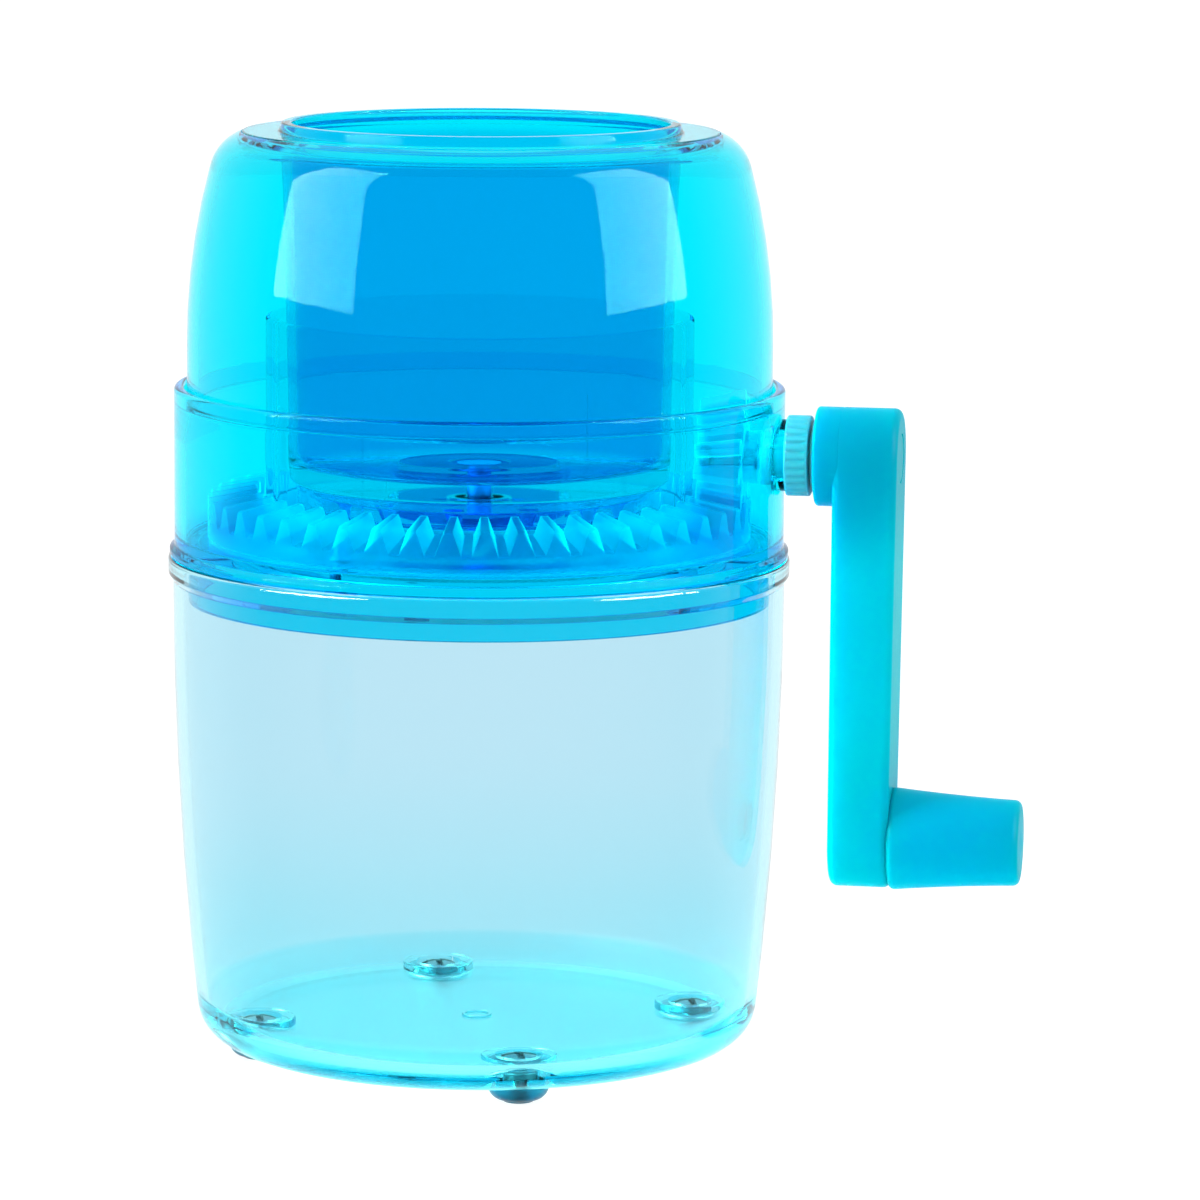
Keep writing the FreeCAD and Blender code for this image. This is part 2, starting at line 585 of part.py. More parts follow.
def make_crank_arm():
    """Hub and arm in one, hanging down from the shaft; its outer face leans in towards the grip's end."""
    body = new_body("crank_arm", dim.shaft_level)
    arm = new_sketch(body, "YZ_Plane", dim.arm_inner)
    half, drop = dim.hub_radius, -dim.crank_radius
    outline(arm, [
        (-half, drop), (zero, drop - half, half, 1), (half, drop, half, 1), (half, zero),
        (zero, half, half, 1), (-half, zero, half, 1),
    ])
    pad(body, arm, dim.arm_outer_top - dim.arm_inner)
    lean = new_sketch(body, "XZ_Plane")
    outline(lean, [
        (dim.arm_outer_low, drop - half - dim.root),
        (dim.arm_outer_top + dim.arm_round, drop - half - dim.root),
        (dim.arm_outer_top, half + dim.root),
    ])
    cut(body, lean, half * 3, both_ways=True)
    doc.recompute()
    faces = [f"Face{index}" for index, face in enumerate(body.Shape.Faces, start=1)
             if abs(face.normalAt(0, 0).x) > 0.99]
    solid = body.Tip
    rim = body.newObject("PartDesign::Fillet", "crank_arm_fillet")
    rim.Base = (solid, faces)
    bind(rim, "Radius", dim.arm_round)
    body.Tip = rim
    hub = new_sketch(body, "YZ_Plane", dim.journal_end)
    circle(hub, dim.hub_radius)
    pad(body, hub, dim.arm_inner - dim.journal_end + dim.arm_round)
    bore = new_sketch(body, "YZ_Plane", dim.journal_end)
    square(bore, dim.square_side)
    cut(body, bore, dim.shaft_end - dim.journal_end, reverse=True)
    hole = new_sketch(body, "YZ_Plane", dim.shaft_end)
    circle(hole, dim.arm_screw_hole)
    cut(body, hole, dim.arm_screw_seat - dim.shaft_end, reverse=True)
    sink = new_sketch(body, "YZ_Plane", dim.arm_screw_seat)
    circle(sink, dim.arm_sink)
    cut(body, sink, dim.cap_end - dim.arm_screw_seat, reverse=True)
    pin = new_sketch(body, "YZ_Plane", dim.arm_inner)
    circle(pin, dim.pin_radius, zero, drop)
    cut(body, pin, dim.arm_outer_top - dim.arm_inner, reverse=True)
    head = new_sketch(body, "YZ_Plane", dim.arm_inner)
    circle(head, dim.pin_sink, zero, drop)
    body.Tip = cut(body, head, dim.pin_head_end - dim.arm_inner, reverse=True)


def make_grip():
    level = dim.shaft_level - dim.crank_radius
    turned_on_shaft("grip_pin", [
        (dim.pin_head_start, zero), (dim.rivet_end, zero), (dim.rivet_end, dim.rivet_radius),
        (dim.pin_end, dim.rivet_radius), (dim.pin_end, dim.pin_radius), (dim.pin_head_end, dim.pin_radius),
        (dim.pin_head_end, dim.pin_head_radius), (dim.pin_head_start, dim.pin_head_radius),
    ], level)
    turned_on_shaft("grip_washer", [
        (dim.grip_washer_start, dim.pin_radius), (dim.pin_end, dim.pin_radius),
        (dim.pin_end, dim.grip_washer_radius), (dim.grip_washer_start, dim.grip_washer_radius),
    ], level)
    bore = dim.pin_radius + dim.pin_gap
    tip_start = dim.grip_end - dim.grip_round
    turned_on_shaft("crank_grip", [
        (dim.grip_start, bore), (dim.chamber_start, bore), (dim.chamber_start, dim.grip_chamber),
        (dim.grip_cap_seat, dim.grip_chamber), (dim.grip_cap_seat, dim.grip_cap_radius),
        (dim.grip_end, dim.grip_cap_radius), (dim.grip_end, dim.grip_tip - dim.grip_round),
        (tip_start, dim.grip_tip, dim.grip_round, 1),
        (dim.grip_start + dim.grip_round, dim.grip_root),
        (dim.grip_start, dim.grip_root - dim.grip_round, dim.grip_round, 1),
    ], level)
    turned_on_shaft("grip_cap", [
        (dim.grip_cap_seat, zero), (dim.grip_crown, zero),
        (dim.grip_end, dim.grip_cap_radius, dim.grip_cap_dome, 1),
        (dim.grip_cap_seat, dim.grip_cap_radius),
    ], level)


# Drum and crown gear

def half_pitch():
    return Size(180.0 / plain(dim.crown_teeth), "(180 / Sizes.crown_teeth)")


def make_ice_drum():
    body = new_body("ice_drum", turn=half_pitch())
    revolve(body, [
        (dim.drum_bore, dim.drum_low), (dim.drum_flange, dim.drum_low),
        (dim.drum_flange, dim.drum_low + dim.flange_thickness),
        (dim.drum_radius, dim.drum_low + dim.flange_thickness), (dim.drum_radius, dim.drum_top),
        (dim.drum_bore, dim.drum_top),
    ])
    rib = new_sketch(body, "XY_Plane", dim.drum_low)
    rectangle(rib, dim.rib_tip, dim.drum_bore + dim.rib_root, dim.rib_width / 2)
    rib_pad = pad(body, rib, dim.rib_height)
    repeat(body, dim.rib_count, [rib_pad])
    sink = new_sketch(body, "XY_Plane", dim.drum_low)
    circle(sink, dim.gear_head_radius, dim.gear_screw_ring)
    sink_cut = cut(body, sink, dim.gear_head_sink, reverse=True)
    hole = new_sketch(body, "XY_Plane", dim.drum_low)
    circle(hole, dim.gear_screw_radius, dim.gear_screw_ring)
    hole_cut = cut(body, hole, dim.flange_thickness, reverse=True)
    repeat(body, dim.gear_screw_count, [sink_cut, hole_cut])


def make_crown_gear():
    body = new_body("crown_gear", turn=half_pitch())
    inner, outer = dim.crown_inner, dim.crown_outer
    bore, deck = dim.drum_radius + dim.gear_fit, dim.drum_low + dim.flange_thickness

    def level(pitch_offset, reach):
        return dim.shaft_level - cone_at(pitch_offset, reach)

    revolve(body, [
        (bore, deck), (dim.crown_recess, deck), (dim.crown_recess, dim.drum_low),
        (outer, dim.drum_low), (outer, level(dim.dedendum, outer)), (inner, level(dim.dedendum, inner)),
        (bore, level(dim.dedendum, inner)),
    ])

    def section(reach):
        scale = reach / dim.gear_pitch
        root = dim.dedendum + dim.tooth_sink
        right = [
            ((dim.tooth_half + dim.flank_slope * root) * scale, level(root, reach)),
            ((dim.tooth_half - dim.flank_slope * dim.addendum) * scale, level(-dim.addendum, reach)),
        ]
        return right + [(-across, up) for across, up in reversed(right)]

    tooth = tooth_loft(body, inner, outer, section)
    repeat(body, dim.crown_teeth, [tooth])
    hole = new_sketch(body, "XY_Plane", deck)
    circle(hole, dim.gear_screw_radius, dim.gear_screw_ring)
    hole_cut = cut(body, hole, dim.gear_screw_top - deck, reverse=True)
    repeat(body, dim.gear_screw_count, [hole_cut])


def make_gear_screws():
    ring = dim.gear_screw_ring
    seat = dim.drum_low + dim.gear_head_sink
    body = new_body("gear_screws", turn=half_pitch())
    screw = revolve(body, [
        (ring, dim.drum_low + dim.gear_head_below),
        (ring + dim.gear_head_radius, dim.drum_low + dim.gear_head_below),
        (ring + dim.gear_head_radius, seat), (ring + dim.gear_screw_radius, seat),
        (ring + dim.gear_screw_radius, dim.gear_screw_top), (ring, dim.gear_screw_top),
    ], axis_at=ring)
    repeat(body, dim.gear_screw_count, [screw])


# Lid and press

def make_lid_dome():
    inner = dim.dome_radius - dim.dome_wall
    body = new_body("lid_dome")
    revolve(body, [
        (inner, dim.skirt_low), (dim.dome_radius, dim.skirt_low), (dim.dome_radius, dim.skirt_top),
        (dim.shoulder_radius, dim.shoulder_level, dim.dome_sweep, 1),
        (dim.ring_radius, dim.ring_level, dim.shoulder_round, 1), (dim.ring_radius, dim.rebate_level),
        (dim.dome_opening, dim.rebate_level), (dim.dome_opening, dim.inner_top_level),
        (dim.inner_top_radius, dim.inner_top_level),
        (dim.inner_shoulder_radius, dim.inner_shoulder_level, dim.inner_round, -1),
        (inner, dim.skirt_top, dim.dome_sweep - dim.dome_wall, -1),
    ])


def make_press_cup():
    """The cup that drops from the lid's top into the drum, its flange resting in the dome's rebate."""
    body = new_body("press_cup")
    revolve(body, [
        (dim.press_screw_radius, dim.cup_low), (dim.cup_low_radius, dim.cup_low),
        (dim.cup_top_radius, dim.rebate_level), (dim.cup_flange, dim.rebate_level),
        (dim.cup_flange, dim.cup_flange_top), (dim.cup_top_radius + dim.rim_slope, dim.cup_flange_top),
        (dim.cup_top_radius, dim.cup_top), (dim.cup_mouth, dim.cup_top), (dim.cup_bore, dim.cup_floor),
        (dim.press_screw_radius, dim.cup_floor),
    ])
    soften(body, dim.cup_corner, [(dim.cup_bore, dim.cup_floor)])


def make_press():
    chamber = dim.press_chamber
    screw = new_body("press_screw")
    revolve(screw, [
        (zero, dim.press_washer_low), (dim.press_screw_radius, dim.press_washer_low),
        (dim.press_screw_radius, dim.cup_floor), (dim.press_head_radius, dim.cup_floor),
        (dim.press_head_radius, dim.press_head_top), (zero, dim.press_head_top),
    ])
    washer = new_body("press_washer")
    revolve(washer, [
        (dim.press_screw_radius, dim.press_washer_low), (dim.press_washer_radius, dim.press_washer_low),
        (dim.press_washer_radius, dim.press_washer_top), (dim.press_screw_radius, dim.press_washer_top),
    ])
    plate = new_body("press_plate")
    bore = dim.press_screw_radius + dim.pin_gap
    revolve(plate, [
        (chamber, dim.press_hub_low), (dim.press_hub, dim.press_hub_low), (dim.press_hub, dim.press_low),
        (dim.press_ring_bore, dim.press_low), (dim.press_ring_bore, dim.press_ring_low),
        (dim.press_radius, dim.press_ring_low), (dim.press_radius, dim.press_top), (bore, dim.press_top),
        (bore, dim.press_chamber_top), (chamber, dim.press_chamber_top),
    ])
    ring = dim.spike_ring
    spike = revolve(plate, [
        (ring, dim.spike_low), (ring + dim.spike_tip_radius, dim.spike_low),
        (ring + dim.spike_radius, dim.press_low + dim.spike_root), (ring, dim.press_low + dim.spike_root),
    ], axis_at=ring)
    repeat(plate, dim.spike_count, [spike])


steps = [
    make_container, make_feet, make_foot_screws, make_housing_shell, make_blade_plate, make_plate_screws,
    make_blade, make_blade_screws, make_shaft_bush, make_shaft_nut, make_crank_shaft, make_pinion,
    make_crank_hardware, make_crank_arm, make_grip, make_ice_drum, make_crown_gear, make_gear_screws,
    make_lid_dome, make_press_cup, make_press,
]
for step in steps:
    step()
doc.recompute()

for item in doc.Objects:
    assert not {"Invalid", "Error"} & set(item.State), f"{item.Label} is {item.State}"
for body in parts:
    assert not body.Shape.isNull() and body.Shape.isValid(), f"{body.Label} has no valid shape"
    body.Shape.exportStep(f"parts/{body.Label}.step")
    print(f"{body.Label}: {len(body.Shape.Solids)} solid(s), {body.Shape.Volume / 1000:.2f} cm3")
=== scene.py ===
import math

import bmesh
import bpy
import numpy as np
from mathutils import Matrix


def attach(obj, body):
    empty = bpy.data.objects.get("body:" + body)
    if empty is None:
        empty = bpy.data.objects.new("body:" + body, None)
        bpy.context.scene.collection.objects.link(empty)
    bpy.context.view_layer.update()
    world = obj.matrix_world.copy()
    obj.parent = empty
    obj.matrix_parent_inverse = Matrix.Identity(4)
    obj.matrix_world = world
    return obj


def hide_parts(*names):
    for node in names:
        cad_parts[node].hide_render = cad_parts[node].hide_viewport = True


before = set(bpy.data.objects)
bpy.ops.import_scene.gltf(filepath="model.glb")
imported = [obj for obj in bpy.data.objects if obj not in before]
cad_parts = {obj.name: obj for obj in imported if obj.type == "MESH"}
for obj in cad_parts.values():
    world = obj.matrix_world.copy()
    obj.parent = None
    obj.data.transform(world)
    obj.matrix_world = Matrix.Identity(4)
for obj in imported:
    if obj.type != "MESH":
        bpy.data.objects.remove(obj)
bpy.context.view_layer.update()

# Hand-cranked ice shaver in clear tinted plastic: container, housing with its gears, lid with its press
# cup, and crank. Lengths in the dictionaries are millimetres, +Z is up along the body's axis and +X points
# along the crank shaft.

mm = 0.001
shaftLevel = 129.3   # height of the crank shaft's axis
gripLevel = 49.1     # height of the grip's axis while the crank hangs down
onAxis, onGrip = (0, 0, shaftLevel), (0, 0, gripLevel)
footRing, footAngle, footCount = 46.8, 20.6, 4   # the circle of bosses, screws and feet, and its first angle
fine, medium, coarse = 288, 96, 48   # points round a large, a middling and a small turned piece
past = 1.0           # how far a cutter runs past the faces that it cuts
crisp = 30           # degrees from which an edge is sharp on a piece with crisp corners


# Shader maths: one socket that adds its own nodes when it meets a sign

class Wire:
    def __init__(self, paint, socket):
        self.paint, self.socket = paint, socket

    def maths(self, operation, first, second):
        return self.paint.node("ShaderNodeMath", {"operation": operation}, {0: first, 1: second})

    def __add__(self, other):
        return self.maths("ADD", self, other)

    def __sub__(self, other):
        return self.maths("SUBTRACT", self, other)

    def __rsub__(self, other):
        return self.maths("SUBTRACT", other, self)

    def __mul__(self, other):
        return self.maths("MULTIPLY", self, other)

    __radd__, __rmul__ = __add__, __mul__


class Paint:
    # a material or a world whose nodes are added one by one
    def __init__(self, name, store, place="Object"):
        self.owner = store.new(name)
        self.owner.use_nodes = True
        self.tree = self.owner.node_tree
        self.tree.nodes.clear()
        self.place = self.node("ShaderNodeTexCoord", out=place)

    def node(self, kind, settings=None, inputs=None, out=0):
        made = self.tree.nodes.new(kind)
        for name, value in (settings or {}).items():
            setattr(made, name, value)
        for name, value in (inputs or {}).items():
            if isinstance(value, Wire):
                self.tree.links.new(value.socket, made.inputs[name])
            else:
                made.inputs[name].default_value = value
        return Wire(self, made.outputs[out])

    def noise(self, scale, detail=2.0, stretch=(1, 1, 1)):
        spot = self.node("ShaderNodeMapping", inputs={"Vector": self.place, "Scale": stretch})
        return self.node("ShaderNodeTexNoise", inputs={"Vector": spot, "Scale": scale, "Detail": detail})

    def blend(self, share, first, second):
        return self.node("ShaderNodeMix", {"data_type": "RGBA"}, {"Factor": share, 6: first, 7: second}, 2)

    def ease(self, value, start, end):
        # 0 before start and 1 past end, with a soft step between
        return self.node("ShaderNodeMapRange", {"interpolation_type": "SMOOTHSTEP"},
                         {"Value": value, "From Min": start, "From Max": end})

    def vectorMaths(self, operation, inputs, out=0):
        return self.node("ShaderNodeVectorMath", {"operation": operation}, inputs, out)

    def along(self, direction):
        # how far the place lies in a direction
        return self.vectorMaths("DOT_PRODUCT", {0: self.place, 1: direction}, "Value")

    def near(self, centre, stretch):
        # distance from a point, each axis stretched
        spot = self.vectorMaths("SUBTRACT", {0: self.place, 1: centre})
        spot = self.vectorMaths("MULTIPLY", {0: spot, 1: stretch})
        return self.vectorMaths("LENGTH", {0: spot}, "Value")

    def bump(self, height, distance):
        return self.node("ShaderNodeBump", inputs={
            "Height": height, "Strength": 1.0, "Distance": distance * mm})

    def finish(self, surface, volume=None):
        # join the surface, and the volume where there is one, to the output
        world = isinstance(self.owner, bpy.types.World)
        made = self.tree.nodes.new("ShaderNodeOutputWorld" if world else "ShaderNodeOutputMaterial")
        self.tree.links.new(surface.socket, made.inputs["Surface"])
        if volume is not None:
            self.tree.links.new(volume.socket, made.inputs["Volume"])
        return self.owner


def colour(red, green, blue):
    # screen colour, 0 to 255, as the linear one that shaders take
    share = np.array([red, green, blue]) / 255
    linear = np.where(share <= 0.04045, share / 12.92, ((share + 0.055) / 1.055) ** 2.4)
    return (*map(float, linear), 1.0)


# Surfaces: every shape is (points, faces) with the faces as rows of four numbers

def surface(grid, wrapAlong, wrapRound=True):
    # A grid of points, rows along the profile and columns round it, joined into quads.
    rows, columns = grid.shape[:2]
    row = np.arange(rows if wrapAlong else rows - 1)[:, None]
    column = np.arange(columns if wrapRound else columns - 1)[None, :]
    nextRow, nextColumn = (row + 1) % rows, (column + 1) % columns
    corners = [row * columns + column, row * columns + nextColumn,
               nextRow * columns + nextColumn, nextRow * columns + column]
    faces = np.stack([np.broadcast_to(c, (row.size, column.size)) for c in corners], axis=-1)
    return grid.reshape(-1, 3), faces.reshape(-1, 4)


def bulge(start, end, sweep, step=0.05, fewest=6):
    # Points from start to end on an arc of radius |sweep|; a positive sweep bulges to the right of the way.
    chord = end - start
    half = np.hypot(*chord) / 2
    side = np.array([chord[1], -chord[0]]) / (2 * half) * np.sign(sweep)
    centre = (start + end) / 2 - side * math.sqrt(sweep * sweep - half * half)
    first, last = (math.atan2(*(spot - centre)[::-1]) for spot in (start, end))
    turn = (last - first + math.pi) % (2 * math.pi) - math.pi
    angle = first + turn * np.linspace(0, 1, max(fewest, int(abs(turn) / step)))
    return centre + abs(sweep) * np.stack([np.cos(angle), np.sin(angle)], axis=1)


def outlineOf(corners, closed=True, arcSteps=6, keep=0.25):
    # Each corner is (across, along, round, sweep): the edge leading to it is straight or an arc of radius
    # sweep, and the corner itself is rounded by an arc that meets both edges. Points kept close to each arc
    # hold the flats flat.
    corners = [tuple(corner) + (0,) * (4 - len(corner)) for corner in corners]
    spots = np.array([corner[:2] for corner in corners], float)
    edges = []
    for index, corner in enumerate(corners):
        start, end = spots[index - 1], spots[index]
        edges.append(bulge(start, end, corner[3]) if corner[3] else np.array([start, end]))
    parts = []
    for index, corner in enumerate(corners):
        before, after = edges[index], edges[(index + 1) % len(corners)]
        spot, radius = spots[index], corner[2]
        arriving = (before[-1] - before[-2]) / np.hypot(*(before[-1] - before[-2]))
        leaving = (after[1] - after[0]) / np.hypot(*(after[1] - after[0]))
        cross = arriving[0] * leaving[1] - arriving[1] * leaving[0]
        turn = math.atan2(cross, float(arriving @ leaving))
        cut = radius * math.tan(abs(turn) / 2)
        if index or closed:
            # the edge's own points, apart from those that the roundings at its two ends take up
            ahead = np.hypot(*(before - spot).T) > cut + 1.5 * keep
            behind = np.hypot(*(before - before[0]).T) > corners[index - 1][2] * 2 + keep
            parts.append(before[1:-1][(ahead & behind)[1:-1]])
        if not closed and index in (0, len(corners) - 1):
            parts.append(spot[None])
            continue
        if radius == 0:
            reach = min(keep, np.hypot(*(after[-1] - spot)) / 3, np.hypot(*(before[0] - spot)) / 3)
            parts.append(np.array([spot - arriving * reach, spot, spot + leaving * reach]))
            continue
        inward = np.array([-arriving[1], arriving[0]]) * np.sign(turn)
        centre = spot - arriving * cut + inward * radius
        angle = np.linspace(0, turn, arcSteps + 1)[:, None]
        spoke = -inward * radius
        arc = centre + spoke * np.cos(angle) + np.array([-spoke[1], spoke[0]]) * np.sin(angle)
        reach = min(keep, radius)
        parts.append(np.vstack([spot - arriving * (cut + reach), arc, spot + leaving * (cut + reach)]))
    return np.vstack(parts)


def turned(outline, count=fine, axis="Z", centre=(0, 0, 0), closed=True, ripple=None):
    # The outline (radius, height) carried round an axis: radius times cosine and sine of the angle, height
    # along it. ripple, where given, changes the radius as a function of the angle and the height.
    angle = np.arange(count) * 2 * math.pi / count if np.isscalar(count) else count
    radius = np.repeat(outline[:, :1], len(angle), axis=1)
    height = np.repeat(outline[:, 1:], len(angle), axis=1)
    if ripple is not None:
        radius, height = ripple(radius, height, angle[None, :])
    across, up = radius * np.cos(angle), radius * np.sin(angle)
    order = [across, up, height] if axis == "Z" else [height, across, up]
    return surface(np.stack(order, axis=-1) + np.array(centre, float), wrapAlong=closed)


def lathe(corners, count=fine, axis="Z", centre=(0, 0, 0)):
    # A solid without a bore: an outline that starts and ends on the axis, turned about it.
    return turned(outlineOf(corners, closed=False), count, axis, centre, closed=False)


def around(shape, count, start, offset):
    # Copies of a shape as one, moved by offset and then turned about Z by equal steps from start degrees.
    points, faces = [], []
    for index, angle in enumerate(np.radians(start) + np.arange(count) * 2 * math.pi / count):
        along, across = math.cos(angle), math.sin(angle)
        spin = np.array([[along, across, 0], [-across, along, 0], [0, 0, 1]])
        points.append((shape[0] + np.array(offset, float)) @ spin)
        faces.append(shape[1] + index * len(shape[0]))
    return np.vstack(points), np.vstack(faces)


def rod(radius, low, high, count=medium, axis="Z", centre=(0, 0, 0), edge=0.0):
    # A plain or round-edged cylinder.
    return lathe([(0, low), (radius, low, edge), (radius, high, edge), (0, high)], count, axis, centre)


def block(low, high):
    # A box between two corners.
    corner = np.array([[x, y, z] for z in (low[2], high[2]) for x, y in
                       ((low[0], low[1]), (high[0], low[1]), (high[0], high[1]), (low[0], high[1]))], float)
    faces = np.array([[3, 2, 1, 0], [4, 5, 6, 7], [0, 1, 5, 4], [1, 2, 6, 5], [2, 3, 7, 6], [3, 0, 4, 7]])
    return corner, faces


def meshObject(name, shape, tiny=1e-7):
    # The shape in metres, its doubled points merged and its faces turned outwards.
    mesh = bpy.data.meshes.new(name)
    mesh.from_pydata((shape[0] * mm).tolist(), [], shape[1].tolist())
    work = bmesh.new()
    work.from_mesh(mesh)
    bmesh.ops.remove_doubles(work, verts=work.verts, dist=tiny)
    bmesh.ops.dissolve_degenerate(work, edges=work.edges, dist=tiny)
    bmesh.ops.recalc_face_normals(work, faces=work.faces)
    work.to_mesh(mesh)
    work.free()
    thing = bpy.data.objects.new(name, mesh)
    bpy.context.scene.collection.objects.link(thing)
    return thing


def combine(thing, shape, operation):
    # Add a shape to a piece or cut it away.
    other = meshObject("other", shape)
    step = thing.modifiers.new("combine", "BOOLEAN")
    step.operation, step.solver, step.object = operation, "EXACT", other
    view = bpy.context.evaluated_depsgraph_get()
    made = bpy.data.meshes.new_from_object(thing.evaluated_get(view))
    thing.modifiers.clear()
    old, thing.data = thing.data, made
    bpy.data.meshes.remove(old)
    bpy.data.objects.remove(other)


def piece(name, shape, body, finish, nodes, add=(), cut=(), sharp=38):
    # A finished piece: built, joined and cut, shaded smooth between its edges, and put on its body.
    thing = meshObject(name, shape)
    for other in add:
        combine(thing, other, "UNION")
    for other in cut:
        combine(thing, other, "DIFFERENCE")
    thing.data.shade_smooth()
    thing.data.set_sharp_from_angle(angle=math.radians(sharp))
    thing.data.materials.clear()
    thing.data.materials.append(finish)
    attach(thing, body)
    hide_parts(*nodes)
    return thing


# Finishes

def clearPlastic(name, look):
    # Clear moulded plastic, tinted at its faces and by the wall's depth, with faint flow marks and scuffs.
    paint = Paint(name, bpy.data.materials)
    flow = paint.noise(look["flowScale"], 3.0, look["flowStretch"])
    scuff = paint.noise(look["scuffScale"], 4.0)
    tint = paint.blend(flow, look["tint"], look["flowTint"])
    height = paint.along((0, 0, 1 / mm))
    for start, end, zoneTint in look.get("zones", ()):
        tint = paint.blend(paint.ease(height, start, end), tint, zoneTint)
    if "core" in look:
        # a deeper tint within a radius of the axis and below a level
        away = paint.near((0, 0, 0), (1 / mm, 1 / mm, 0))
        low = paint.ease(height, look["coreTop"] + look["coreTopFade"], look["coreTop"])
        middle = paint.ease(away, look["core"] + look["coreFade"], look["core"])
        tint = paint.blend(middle * low, tint, look["coreTint"])
    rough = scuff * look["scuff"] + look["rough"]
    if "matFrom" in look:
        # the underside of the floor is moulded matt
        rough = rough + paint.ease(height, look["matFrom"], look["matTo"]) * look["mat"]
    wave = paint.bump(flow, look["wave"])
    glass = paint.node("ShaderNodeBsdfPrincipled", inputs={
        "Base Color": tint, "Roughness": rough, "IOR": look["bend"], "Transmission Weight": 1.0,
        "Specular Tint": look["mirror"], "Normal": wave})
    # light reaches what is inside through a plain tint
    shadow = paint.node("ShaderNodeBsdfTransparent", inputs={"Color": look["shadow"]})
    ray = paint.node("ShaderNodeLightPath", out="Is Shadow Ray")
    shown = paint.node("ShaderNodeMixShader", inputs={0: ray, 1: glass, 2: shadow})
    most = max(look["absorb"])
    depth = paint.node("ShaderNodeVolumeAbsorption", inputs={
        "Color": (*(1 - part / most for part in look["absorb"]), 1.0), "Density": most / mm})
    return paint.finish(shown, depth)


def milkyPlastic(name, look):
    # Milky plastic that light sinks into, with soft mottling and a fine satin grain.
    paint = Paint(name, bpy.data.materials)
    cloud = paint.noise(look["cloudScale"], 2.0)
    grain = paint.noise(look["grainScale"], 5.0)
    tint = paint.blend(cloud, look["tint"], look["cloudTint"])
    # painted shade: each shade core darkens the tint towards its centre
    for centre, stretch, coreTint in look.get("cores", ()):
        away = paint.near([c * mm for c in centre], [1 / s / mm for s in stretch])
        tint = paint.blend(paint.ease(away, look["coreEdge"], look["coreFull"]), tint, coreTint)
    body = paint.node("ShaderNodeBsdfPrincipled", inputs={
        "Base Color": tint, "Roughness": grain * look["grain"] + look["rough"], "IOR": look["bend"],
        "Specular IOR Level": look["gloss"], "Subsurface Weight": look["sink"],
        "Subsurface Radius": look["sinkRadius"], "Subsurface Scale": look["sinkScale"] * mm,
        "Transmission Weight": look["clear"], "Normal": paint.bump(grain, look["grainDepth"])})
    return paint.finish(body)


def brushedSteel(name, look):
    # Bright metal with fine lines along one direction.
    paint = Paint(name, bpy.data.materials)
    lines = paint.noise(look["lineScale"], 3.0, look["lineStretch"])
    tint = paint.blend(lines, look["tint"], look["lineTint"])
    # painted shade: the steel darkens below a height, in the cross recess and round the head's foot
    if "recessShadeTint" in look:
        height = paint.along((0, 0, 1 / mm))
        tint = paint.blend(paint.ease(height, look["recessShadeFrom"], look["recessShadeTo"]), tint, look["recessShadeTint"])
    body = paint.node("ShaderNodeBsdfPrincipled", inputs={
        "Base Color": tint, "Metallic": 1.0, "Roughness": lines * look["spread"] + look["rough"],
        "Normal": paint.bump(lines, look["lineDepth"])})
    return paint.finish(body)


# Each tint is a pair, the plain one and the one at the flow marks; zones are (from, to, tint) by height.

plasticLook = {"flowScale": 28.0, "flowStretch": (1.0, 1.0, 0.35), "scuffScale": 160.0, "scuff": 0.02,
               "rough": 0.012, "wave": 0.02, "mirror": (0.15, 0.97, 0.99, 1), "coreFade": 0.6,
               "coreTopFade": 0.3}
lidPlastic = clearPlastic("lid plastic", {
    **plasticLook, "bend": 1.16, "tint": (0.04, 0.9, 0.972, 1), "flowTint": (0.03, 0.885, 0.965, 1),
    "shadow": (0.3, 0.97, 0.99, 1), "absorb": (0.4, 0.008, 0.002)})
housingPlastic = clearPlastic("housing plastic", {
    **plasticLook, "bend": 1.12, "tint": (0.02, 0.9, 0.99, 1), "flowTint": (0.018, 0.88, 0.985, 1),
    "zones": ((114.0, 110.0, (0.02, 0.68, 0.91, 1)), (107.5, 106.0, (0.002, 0.73, 0.94, 1))),
    "shadow": (0.3, 0.95, 0.99, 1), "absorb": (0.4, 0.006, 0.001)})
cupPlastic = clearPlastic("cup plastic", {
    **plasticLook, "bend": 1.12, "rough": 0.03,
    "tint": (0.05, 0.68, 0.91, 1), "flowTint": (0.04, 0.655, 0.9, 1),
    "zones": ((191.5, 194.0, (0.05, 0.88, 0.955, 1)), (127.5, 125.9, (0.05, 0.92, 0.97, 1))),
    "core": 17.5, "coreTop": 129.0, "coreTint": (0.03, 0.5, 0.78, 1),
    "shadow": (0.3, 0.86, 0.97, 1), "absorb": (0.4, 0.002, 0.001)})
drumPlastic = clearPlastic("drum plastic", {
    **plasticLook, "bend": 1.02, "wave": 0.0,
    "tint": (0.05, 0.94, 0.965, 1), "flowTint": (0.04, 0.93, 0.96, 1),
    "shadow": (0.3, 0.97, 0.98, 1), "absorb": (0.4, 0.006, 0.002)})
containerPlastic = clearPlastic("container plastic", {
    **plasticLook, "bend": 1.34, "mirror": (1.0, 1.0, 1.0, 1), "mat": 0.3, "matFrom": 5.2, "matTo": 5.0,
    "tint": (0.785, 0.865, 0.925, 1), "flowTint": (0.77, 0.855, 0.915, 1),
    # the wall darkens towards the bottom; the floor and its fillet are darker still, partly the deeper tint
    # through the floor and partly painted shade of the tinted light under the container
    "zones": ((60.0, 16.0, (0.64, 0.85, 0.915, 1)), (13.4, 12.4, (0.47, 0.815, 0.895, 1))),
    "shadow": (0.93, 0.97, 0.985, 1), "absorb": (0.06, 0.004, 0.001)})
